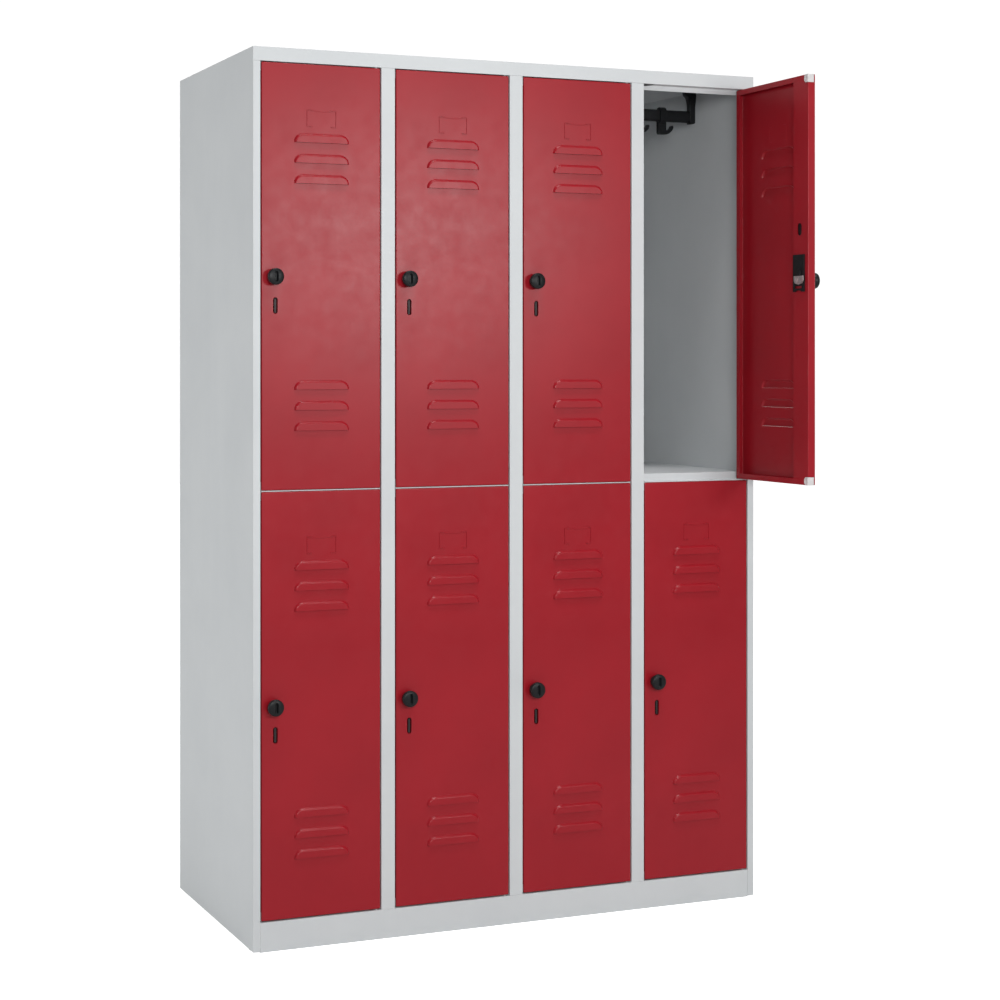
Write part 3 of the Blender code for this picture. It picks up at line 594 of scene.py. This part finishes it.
HASP_HALF = (2.25 * MM, 14.5 * MM)
HASP_FRONT = DOOR_FACE + 0.8 * MM
HASP_BACK = DOOR_BACK - 1.3 * MM
HASP_EYE = 4 * MM
EYE_SETBACK = 6.5 * MM
HASP_RING = 7.5 * MM
RING_ANGLES = (radians(-40), radians(220))
RING_STEPS = 28
HASP_BORE = 4.6 * MM
ARM_PLATE = 2 * MM
ARM_HALF = 4.8 * MM
ARM_FOOT = 10.5 * MM
THROUGH = 20 * MM


def louvre_outline(inset, sill):
    half = LOUVRE_HALF - inset
    top = LOUVRE_HEIGHT - inset
    radii = (LOUVRE_CORNER[0] - inset, LOUVRE_CORNER[1] - inset)
    right = ellipse_arc((half - radii[0], top - radii[1]), radii, 0.0, pi / 2, END_STEPS)
    left = [(-x, z) for x, z in reversed(right)]
    points = [(half, 0.0)] + right + left + [(-half, 0.0)]
    return [(DOOR_MIDDLE + x, sill + z) for x, z in points]


def louvre_profile():
    """(inset, rise) pairs: a small fillet at the foot, a slope and a rounder shoulder."""
    foot = [(LOUVRE_FOOT[0] * t, LOUVRE_FOOT[1] * t * t) for t in (0.0, 0.5, 1.0)]
    slope_end = LOUVRE_SLOPE[1]
    shoulder = []
    for step in range(1, SHOULDER_STEPS + 1):
        t = step / SHOULDER_STEPS
        inset = slope_end[0] + LOUVRE_SHOULDER[0] * sin(t * pi / 2) * (0.55 + 0.45 * t)
        shoulder.append((inset, slope_end[1] + LOUVRE_SHOULDER[1] * sin(t * pi / 2)))
    return foot + list(LOUVRE_SLOPE) + shoulder


def pan_outline(inset, radius):
    """The door's outline with round corners, moved in by four insets: left, right, bottom, top."""
    left, right, bottom, top = inset
    x0, x1 = FREE_EDGE + left, HINGE_EDGE - right
    z0, z1 = bottom, DOOR_HEIGHT - top
    corners = ((x1 - radius, z1 - radius, 0.0), (x0 + radius, z1 - radius, pi / 2),
               (x0 + radius, z0 + radius, pi), (x1 - radius, z0 + radius, 3 * pi / 2))
    points = []
    for x, z, start in corners:
        points += ellipse_arc((x, z), (radius, radius), start, start + pi / 2, CORNER_STEPS)
    return points


def pan_sides(shape, front_ring):
    """Rounded front fold, wall, rear fold and return lips, starting at the flat front's rim."""
    radius, rear = FOLD_RADIUS, REAR_RADIUS
    rings = [front_ring]

    def add_ring(inset, level):
        outline = pan_outline([inset] * 4, radius - inset * CORNER_SHRINK)
        rings.append(ring_of(shape, outline, level))

    for step in range(1, FRONT_FOLD_STEPS + 1):
        angle = pi / 2 * step / FRONT_FOLD_STEPS
        add_ring(radius - radius * sin(angle), DOOR_FACE + radius - radius * cos(angle))
    add_ring(0.0, DOOR_BACK - rear)
    for step in range(1, REAR_FOLD_STEPS + 1):
        angle = pi / 2 * step / REAR_FOLD_STEPS
        add_ring(rear - rear * cos(angle), DOOR_BACK - rear + rear * sin(angle))
    lips = [FREE_LIP, HINGE_LIP, END_LIP, END_LIP]
    rings.append(ring_of(shape, pan_outline(lips, LIP_CORNER), DOOR_BACK))
    for near, far in zip(rings, rings[1:]):
        bridge(shape, near, far)


def fill_flat(shape, rings):
    """Triangles between an outer ring and the rings of the holes in it, all in one plane."""
    edges = []
    for ring in rings:
        for start, vert in enumerate(ring):
            other = ring[(start + 1) % len(ring)]
            edge = shape.edges.get((vert, other)) or shape.edges.new((vert, other))
            edges.append(edge)
    bmesh.ops.triangle_fill(shape, use_beauty=True, use_dissolve=False, edges=edges,
                            normal=(0.0, -1.0, 0.0))


def press_louvre(shape, sill):
    """One hood, open below. Returns the ring of its foot, whose bottom edge is the slit."""
    rings = []
    for inset, rise in louvre_profile():
        rings.append(ring_of(shape, louvre_outline(inset, sill), DOOR_FACE - rise))
    for near, far in zip(rings, rings[1:]):
        bridge(shape, near, far, closed=False)
    shape.faces.new(rings[-1])
    return rings[0]


def rib_along(path, size, level, outward):
    """A raised rib along a path of (x, z) points on one face of the door, as a closed solid."""
    half_width, height, flat = size
    shape = bmesh.new()
    points = [Vector(point) for point in path]
    rings = []
    for index, point in enumerate(points):
        before = points[max(index - 1, 0)]
        after = points[min(index + 1, len(points) - 1)]
        run = (after - before).normalized()
        side = Vector((-run.y, run.x))
        ring = []
        for across, rise in ((-1, -RIB_ROOT), (-flat, height), (flat, height), (1, -RIB_ROOT)):
            spot = point + side * half_width * across
            ring.append(shape.verts.new((spot.x, level + outward * rise, spot.y)))
        rings.append(ring)
    for near, far in zip(rings, rings[1:]):
        bridge(shape, near, far)
    shape.faces.new(rings[0])
    shape.faces.new(rings[-1])
    bmesh.ops.recalc_face_normals(shape, faces=shape.faces)
    return shape


def label_paths():
    """Two C brackets that hold a card and the shallow dip that joins their tops."""
    top = LABEL_BOTTOM + LABEL_HEIGHT
    paths = []
    for side in (-1, 1):
        edge = DOOR_MIDDLE + side * LABEL_HALF
        toe = edge - side * LABEL_FOOT
        paths.append([(toe, LABEL_BOTTOM), (edge, LABEL_BOTTOM), (edge, top), (toe, top)])
    reach = LABEL_HALF - LABEL_FOOT
    dip = []
    for step in range(DIP_STEPS + 1):
        x = -reach + 2 * reach * step / DIP_STEPS
        dip.append((DOOR_MIDDLE + x, top - DIP_DROP - DIP_DEPTH * cos(x / reach * pi / 2)))
    return paths, dip


def buffer_outline(grow, top):
    reach = FREE_EDGE + BUFFER_REACH + grow
    low = DOOR_HEIGHT - BUFFER_HEIGHT - grow
    high = DOOR_HEIGHT + grow
    outline = [(FREE_EDGE - grow, low), (reach - BUFFER_CHAMFER, low),
               (reach, low + BUFFER_CHAMFER), (reach, high - BUFFER_CHAMFER),
               (reach - BUFFER_CHAMFER, high), (FREE_EDGE - grow, high)]
    return outline if top else [(x, DOOR_HEIGHT - z) for x, z in reversed(outline)]


def make_door_mesh():
    """One open sheet pressed and folded, then given its thickness and the holes in its back."""
    shape = bmesh.new()
    rim = ring_of(shape, pan_outline([FOLD_RADIUS] * 4, FOLD_RADIUS * CORNER_SHRINK), DOOR_FACE)
    pan_sides(shape, rim)
    sills = [row + LOUVRE_PITCH * step for row in LOUVRE_ROWS for step in range(LOUVRES_PER_ROW)]
    holes = [press_louvre(shape, sill) for sill in sills]
    knob_hole = circle((KNOB_X, KNOB_Z), KNOB_HOLE, KNOB_HOLE_STEPS)
    holes.append(ring_of(shape, knob_hole, DOOR_FACE))
    holes.append(ring_of(shape, stadium((SLOT_X, SLOT_Z), *SLOT_HALF), DOOR_FACE))
    fill_flat(shape, [rim] + holes)
    bmesh.ops.recalc_face_normals(shape, faces=shape.faces)
    door = draft("door", shape, RED_PAINT)
    solidify = door.modifiers.new("sheet", "SOLIDIFY")
    solidify.thickness = DOOR_SHEET
    solidify.offset = -1.0
    solidify.use_even_offset = True
    door = place("door_draft", evaluated(door))
    for outline in (circle((KNOB_X, KNOB_Z), KNOB_HOLE),
                    stadium((SLOT_X, LIP_HOLE_Z), *LIP_HOLE_HALF)):
        cutter = drawn(outline, DOOR_BACK - LIP_MARGIN, DOOR_BACK + LIP_MARGIN)
        door = combined(door, cutter, "DIFFERENCE")
    for top in (True, False):
        cutter = drawn(buffer_outline(CLEARANCE, top), BUFFER_FRONT - CLEARANCE,
                       DOOR_BACK + LIP_MARGIN)
        door = combined(door, cutter, "DIFFERENCE")
    mesh = door.data
    bpy.data.objects.remove(door)
    return finished(mesh)


def make_label_mesh():
    """The holder's ribs outside and the faint trace of their pressing inside."""
    brackets, dip = label_paths()
    ribs = [rib_along(path, BRACKET_RIB, DOOR_FACE, -1) for path in brackets]
    ribs.append(rib_along(dip, DIP_RIB, DOOR_FACE, -1))
    ribs += [rib_along(path, TRACE_RIB, DOOR_FACE + DOOR_SHEET, 1) for path in brackets]
    whole = bmesh.new()
    for rib in ribs:
        part = bpy.data.meshes.new("rib")
        rib.to_mesh(part)
        rib.free()
        whole.from_mesh(part)
        bpy.data.meshes.remove(part)
    return finished(to_mesh(whole, "label_holder", RED_PAINT))


def make_knob_mesh():
    """A domed, waisted turn knob; a deep groove runs down the middle of its face."""
    front = DOOR_FACE - KNOB_REACH
    profile = []
    for step in range(DOME_STEPS + 1):
        angle = pi / 2 * step / DOME_STEPS
        level = front + KNOB_DOME * (1 - cos(angle)) - KNOB_CROWN
        profile.append((max(KNOB_RADIUS * sin(angle), KNOB_PEAK), level))
    profile += [(radius * MM, front + depth * MM) for radius, depth in KNOB_WAIST]
    profile += [(radius * MM, DOOR_FACE + depth * MM) for radius, depth in KNOB_NECK]
    middle = (0.0, 0.0)
    levels = [(circle(middle, radius, KNOB_STEPS), level) for radius, level in profile]
    groove = stacked([(stadium(middle, half_width * MM, half_height * MM), front + depth * MM)
                      for half_width, half_height, depth in KNOB_GROOVE])
    knob = combined(draft("knob", stacked(levels), BLACK_PLASTIC), groove, "DIFFERENCE")
    return softened(knob, width=0.35 * MM, angle=SHARP)


def make_case_mesh():
    """Shallow black cover of the latch, with a recess and an arch below the shield."""
    left, right = SLOT_OFFSET - CASE_HALF, SLOT_OFFSET + CASE_HALF
    outer = rectangle((left, CASE_BELOW), (right, CASE_ABOVE))
    case = draft("case", drawn(outer, CASE_FRONT, CASE_BACK), BLACK_PLASTIC)
    hidden, beyond, floor = CASE_FRONT - BEYOND, CASE_BACK + BEYOND, CASE_BACK - 2 * CASE_WALL
    hollow = rectangle((left + CASE_WALL, CASE_BELOW + CASE_WALL),
                       (right - CASE_WALL, CASE_ABOVE - CASE_WALL))
    arch = [(x, CASE_BELOW + (z - CASE_BELOW) * ARCH_SQUASH)
            for x, z in stadium((SLOT_OFFSET, CASE_BELOW), *CASE_ARCH)]
    recess = rectangle((SLOT_OFFSET - RECESS_HALF, RECESS_HEIGHTS[0]),
                       (SLOT_OFFSET + RECESS_HALF, RECESS_HEIGHTS[1]))
    for outline, near, far in ((hollow, hidden, CASE_BACK - CASE_WALL), (arch, hidden, beyond),
                               (recess, floor, beyond),
                               (circle((0.0, 0.0), CASE_BORE), floor, beyond)):
        case = combined(case, drawn(outline, near, far), "DIFFERENCE")
    return softened(case, width=0.4 * MM)


def make_tongue_mesh():
    """Black locking tongue on its spindle; it points up when the door can open."""
    rod = drawn(circle((0.0, 0.0), SPINDLE_RADIUS), DOOR_FACE + SPINDLE_START, SHIELD_FACE)
    blade = drawn(in_mm(*TONGUE), TONGUE_FACE, SHIELD_FACE + TONGUE_OVERLAP)
    return softened(combined(draft("tongue", rod, BLACK_PLASTIC), blade, "UNION"), width=0.3 * MM)


def dimpled(thing, centre, end, rings):
    """The object with a round dimple pressed into the face at the level end."""
    levels = [(circle(centre, radius), end - depth) for radius, depth in rings]
    return combined(thing, stacked(levels), "DIFFERENCE")


def make_shield_mesh():
    """Pressed zinc shield on the spindle's end, with a plain dimple."""
    end = SHIELD_FACE + SHIELD_PLATE
    half = in_mm(*SHIELD_SIDE)
    outline = half + in_mm(SHIELD_TIP) + [(-x, z) for x, z in reversed(half)]
    shield = draft("shield", drawn(outline, SHIELD_FACE, end), ZINC)
    return softened(dimpled(shield, (0.0, 0.0), end, SHIELD_DIMPLE), width=0.3 * MM)


def make_hasp_mesh():
    """Padlock plate behind its slot, with the arm and ring that ride on the spindle."""
    middle = SLOT_Z - KNOB_Z
    plate = rectangle((SLOT_OFFSET - HASP_HALF[0], middle - HASP_HALF[1]),
                      (SLOT_OFFSET + HASP_HALF[0], middle + HASP_HALF[1]))
    hasp = draft("hasp", drawn(plate, HASP_FRONT, HASP_BACK), DULL_ZINC)
    eye = [(y + HASP_FRONT + EYE_SETBACK, z + middle) for y, z in circle((0.0, 0.0), HASP_EYE)]
    hasp = combined(hasp, along_x(eye, -THROUGH, THROUGH), "DIFFERENCE")
    ring = ellipse_arc((0.0, 0.0), (HASP_RING, HASP_RING), *RING_ANGLES, RING_STEPS)
    foot = middle - ARM_FOOT
    arm = ring + [(SLOT_OFFSET - ARM_HALF, foot), (SLOT_OFFSET + ARM_HALF, foot)]
    hasp = combined(hasp, drawn(arm, HASP_BACK - ARM_PLATE, HASP_BACK), "UNION")
    bore = drawn(circle((0.0, 0.0), HASP_BORE), HASP_BACK - BEYOND, HASP_BACK + BEYOND)
    return softened(combined(hasp, bore, "DIFFERENCE"), width=0.25 * MM)


def make_buffer_mesh(top):
    """White corner plug with a round dimple."""
    end = DOOR_BACK + BUFFER_PROUD
    name = "buffer_top" if top else "buffer_bottom"
    plug = draft(name, drawn(buffer_outline(0.0, top), BUFFER_FRONT, end), WHITE_PLASTIC)
    middle = DOOR_HEIGHT - BUFFER_HEIGHT / 2 if top else BUFFER_HEIGHT / 2
    plug = dimpled(plug, (FREE_EDGE + BUFFER_REACH / 2, middle), end, BUFFER_DIMPLE)
    return softened(plug, width=0.5 * MM, segments=3)


def make_painted_shade_strip_mesh():
    """Black strip inside the free edge: painted shade, a dark sheet that darkens the oblong hole
    above the lock, where the space behind the lip lies in shadow.
    """
    outline = rectangle((SLOT_X - SHADE_STRIP_HALF[0], LIP_HOLE_Z - SHADE_STRIP_HALF[1]),
                        (SLOT_X + SHADE_STRIP_HALF[0], LIP_HOLE_Z + SHADE_STRIP_HALF[1]))
    level = DOOR_BACK - SHADE_STRIP_SETBACK
    strip = drawn(outline, level, level + SHADE_STRIP_PLATE)
    return softened(draft("shade_strip", strip, BLACK_PLASTIC), width=0.3 * MM)


def make_doors():
    door, label_ribs, shade_strip = make_door_mesh(), make_label_mesh(), make_painted_shade_strip_mesh()
    knob, tongue, shield = make_knob_mesh(), make_tongue_mesh(), make_shield_mesh()
    hasp, case = make_hasp_mesh(), make_case_mesh()
    buffers = {"buffer_top": make_buffer_mesh(True), "buffer_bottom": make_buffer_mesh(False)}
    for label in LABELS:
        matrix = door_matrix(label)
        latch = matrix @ Matrix.Translation((KNOB_X, 0.0, KNOB_Z))
        body, turning, sliding = "door_" + label, "knob_" + label, "hasp_" + label
        is_open = label == OPEN_LABEL
        add_piece("door_pan_" + label, door, matrix, body, body)
        add_piece("label_holder_" + label, label_ribs, matrix, body)
        # Painted shade: the black strip darkens the oblong hole in the lip
        add_piece("lip_shade_strip_" + label, shade_strip, matrix, body)
        add_piece("turn_knob_" + label, knob, latch, turning, turning)
        add_piece("locking_tongue_" + label, tongue, latch, turning, "latch_cam_" + label)
        add_piece("lock_shield_" + label, shield, latch, turning)
        add_piece("padlock_hasp_" + label, hasp, latch, sliding, sliding)
        add_piece("lock_cover_" + label, case, latch, body, *(["lock_case"] if is_open else []))
        for name, mesh in buffers.items():
            add_piece("%s_%s" % (name, label), mesh, matrix, body, *([name] if is_open else []))


# --- Coat rails --------------------------------------------------------------------------------

RAIL_HALF_DEPTH = 6 * MM
RAIL_HALF_HEIGHT = 14 * MM
RAIL_END_STEPS = 12
RAIL_START = 21 * MM
RAIL_SOFT = radians(50)
HOOK_PLACES = (64.5 * MM, 129.5 * MM, 194.5 * MM)
HOOK_HALF = 5 * MM
COLLAR_WALL = 6 * MM
COLLAR_HALF = 7.5 * MM
# A hook's stem, heel and prong, in millimetres from the middle of the rail
STEM = ((10.5, -16), (-10.5, -16), (-10.5, -39))
HEEL = ((-6.5, -40), (4, 4))
PRONG_UNDER = ((6.5, -44), (11.8, -43.4), (17, -41.5), (21.4, -38.8), (25.2, -35.6), (28, -32))
PRONG_TIP = ((26.6, -26.2), (3.3, 3.5))
PRONG_INNER = ((21.8, -28.2), (19, -31), (16.3, -33.4), (13.5, -34.5), (11.4, -33.8), (10.5, -32))
CURL_STEPS = 6
TIP_STEPS = 9
# The left bracket's outline, from the compartment's left edge and the middle of the rail
BRACKET_DROP = 64.5 * MM
BRACKET_HALF = 8 * MM
BRACKET_OUTER = ((15.2, 46), (16.4, 34), (17.8, 24), (18, -10))
BRACKET_CORNER = ((23.5, -12), (5.5, 4.5))
BRACKET_INNER = ((31.5, -16.5), (31.5, 26), (32.3, 32), (33.4, 38), (34.9, 43), (37.5, 46.6),
                 (41.4, 50), (43.6, 54), (44, 58))
BRACKET_FOOT = (15 * MM, 44 * MM)


def rail_outline(grow):
    return stadium((0.0, 0.0), RAIL_HALF_DEPTH + grow, RAIL_HALF_HEIGHT + grow, RAIL_END_STEPS)


def make_hook_mesh():
    """Collar round the rail and a stem whose foot runs out into a curled prong."""
    heel = ellipse_arc(*in_mm(*HEEL), pi, 3 * pi / 2, CURL_STEPS)
    tip = ellipse_arc(*in_mm(*PRONG_TIP), -pi / 5, pi, TIP_STEPS)
    outline = in_mm(*STEM) + heel + in_mm(*PRONG_UNDER) + tip + in_mm(*PRONG_INNER)
    hook = draft("hook", drawn(outline, -HOOK_HALF, HOOK_HALF), BLACK_PLASTIC)
    collar = along_x(rail_outline(COLLAR_WALL), -COLLAR_HALF, COLLAR_HALF)
    hook = combined(hook, collar, "UNION")
    hook = combined(hook, along_x(rail_outline(CLEARANCE), -THROUGH, THROUGH), "DIFFERENCE")
    return softened(hook, width=0.8 * MM, segments=3)


def make_bracket_mesh(mirror):
    """Hanger with a flared foot; the rail's end sits in its pocket."""
    top = BRACKET_DROP - CLEARANCE
    corner = ellipse_arc(*in_mm(*BRACKET_CORNER), pi, 3 * pi / 2, CURL_STEPS)
    outline = [(BRACKET_FOOT[0], top)] + in_mm(*BRACKET_OUTER) + corner
    outline += in_mm(*BRACKET_INNER) + [(BRACKET_FOOT[1], top)]
    if mirror:
        outline = [(PITCH - x, z) for x, z in reversed(outline)]
    bracket = draft("bracket", drawn(outline, -BRACKET_HALF, BRACKET_HALF), BLACK_PLASTIC)
    start = RAIL_START - CLEARANCE
    pocket = along_x(rail_outline(CLEARANCE), start, PITCH - start)
    return softened(combined(bracket, pocket, "DIFFERENCE"), width=0.9 * MM, segments=3)


def make_rail_mesh():
    bar = along_x(rail_outline(0.0), RAIL_START, PITCH - RAIL_START)
    return softened(draft("rail", bar, BLACK_PLASTIC), width=0.5 * MM, angle=RAIL_SOFT)


def rail_centre(label):
    """The rail's middle line at the column's left edge."""
    column = int(label[-1])
    low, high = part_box("coat_rail")
    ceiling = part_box("roof_panel")[1].z - SHEET
    drop = ceiling - (low.z + high.z) / 2
    if label.startswith("lower"):
        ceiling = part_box("shelf_%d" % column)[1].z - SHEET
    left = cad_box[0].x + PITCH * (column - 1)
    return Matrix.Translation((left, (low.y + high.y) / 2, ceiling - drop))


def make_rails():
    rail, hook = make_rail_mesh(), make_hook_mesh()
    brackets = {"left": make_bracket_mesh(False), "right": make_bracket_mesh(True)}
    for label in LABELS:
        centre = rail_centre(label)
        is_open = label == OPEN_LABEL
        stands_for = "coat_rail" if is_open else "coat_rail_" + label
        add_piece("coat_bar_" + label, rail, centre, "carcass", stands_for)
        for side, mesh in brackets.items():
            replaced = ["rail_bracket_" + side] if is_open else []
            add_piece("bar_bracket_%s_%s" % (side, label), mesh, centre, "carcass", *replaced)
        for number, reach in enumerate(HOOK_PLACES, start=1):
            body = "coat_hook_%d" % number if is_open else "carcass"
            replaced = [body] if is_open else []
            spot = centre @ Matrix.Translation((reach, 0.0, 0.0))
            add_piece("sliding_hook_%d_%s" % (number, label), hook, spot, body, *replaced)


# --- Floor, light and camera -------------------------------------------------------------------

WHITE = (1.0, 1.0, 1.0, 1.0)
AMBIENT = 0.20
BACKDROP = 1.05
FLOOR_GLOW = 1.0
FLOOR_HALF = 14.0
FLOOR_GAP = 0.2 * MM
# Softboxes: place, the point faced, width and height, watts
LIGHTS = {
    "key_softbox": ((1.25, -3.9, 1.75), (-0.2, -0.25, 1.4), (1.2, 0.5), 40),
    "top_softbox": ((0.2, -2.7, 3.6), (0.0, -0.25, 1.0), (2.4, 1.0), 4),
    "front_softbox": ((-1.1, -3.3, 1.75), (0.0, -0.25, 0.9), (1.2, 0.6), 43),
    "left_softbox": ((-4.0, 0.5, 1.2), (-0.6, 0.1, 0.9), (1.6, 1.6), 63),
    "overhead_softbox": ((0.3, -1.7, 6.0), (0.3, -0.2, 0.9), (2.0, 0.8), 120),
    "rear_softbox": ((1.2, 4.4, 2.4), (0.0, 0.25, 0.9), (2.0, 1.4), 75),
    "right_softbox": ((4.2, 0.6, 1.8), (0.6, 0.1, 0.9), (1.6, 1.6), 50),
}
CAMERA_PLACE = (-1.86736, -3.80689, 1.19943)
CAMERA_TURN = (pi / 2, 0.0, -0.3513)
SENSOR = 36.0
LENS = 66.73
LENS_SHIFT = (0.2301, -0.1350)


def make_floor():
    """Plain pale floor that reads as white as the backdrop."""
    floor = place("floor", bpy.data.meshes.new("floor"))
    level = cad_box[0].z - FLOOR_GAP
    corners = [(x * FLOOR_HALF, y * FLOOR_HALF, level)
               for x, y in ((-1, -1), (1, -1), (1, 1), (-1, 1))]
    floor.data.from_pydata(corners, [], [(0, 1, 2, 3)])
    n = Nodes("pale_floor")
    clouds = n.spread(n.noise(2.0), low=0.0, high=1.0)
    colour = n.mix(clouds, (0.60, 0.60, 0.60), (0.62, 0.62, 0.62))
    n.link(colour, n.shader.inputs["Base Color"])
    n.shader.inputs["Roughness"].default_value = 0.8
    n.shader.inputs["Specular IOR Level"].default_value = 0.1
    n.shader.inputs["Emission Color"].default_value = WHITE
    seen = n.add("ShaderNodeLightPath").outputs["Is Camera Ray"]
    glow = n.spread(seen, low=0.0, high=FLOOR_GLOW)
    n.link(glow, n.shader.inputs["Emission Strength"])
    floor.data.materials.append(n.material)


def add_light(name, spot, target, size, power):
    lamp = bpy.data.lights.new(name, "AREA")
    lamp.shape = "RECTANGLE"
    lamp.size, lamp.size_y = size
    lamp.energy = power
    thing = bpy.data.objects.new(name, lamp)
    bpy.context.scene.collection.objects.link(thing)
    thing.location = spot
    thing.rotation_euler = (Vector(target) - Vector(spot)).to_track_quat("-Z", "Y").to_euler()


def make_world():
    """A white backdrop for the camera; a softer white is what lights the object."""
    world = bpy.data.worlds.new("studio")
    bpy.context.scene.world = world
    world.use_nodes = True
    nodes, links = world.node_tree.nodes, world.node_tree.links
    strength = nodes.new("ShaderNodeMapRange")
    strength.inputs["To Min"].default_value = AMBIENT
    strength.inputs["To Max"].default_value = BACKDROP
    links.new(nodes.new("ShaderNodeLightPath").outputs["Is Camera Ray"], strength.inputs["Value"])
    links.new(strength.outputs["Result"], nodes["Background"].inputs["Strength"])
    nodes["Background"].inputs["Color"].default_value = WHITE


def make_lights():
    for name, setting in LIGHTS.items():
        add_light(name, *setting)


def make_camera():
    camera = bpy.data.objects.new("camera", bpy.data.cameras.new("camera"))
    bpy.context.scene.collection.objects.link(camera)
    camera.location = CAMERA_PLACE
    camera.rotation_euler = CAMERA_TURN
    camera.data.sensor_width = SENSOR
    camera.data.lens = LENS
    camera.data.shift_x, camera.data.shift_y = LENS_SHIFT
    bpy.context.scene.camera = camera


make_carcass()
make_corner_shade_pads()
make_doors()
make_rails()
back_panel = frame["nodes"]["back_panel"].data
back_panel.materials.clear()
back_panel.materials.append(GREY_PAINT)
make_floor()
make_world()
make_lights()
make_camera()
bpy.context.scene.view_settings.view_transform = "Standard"
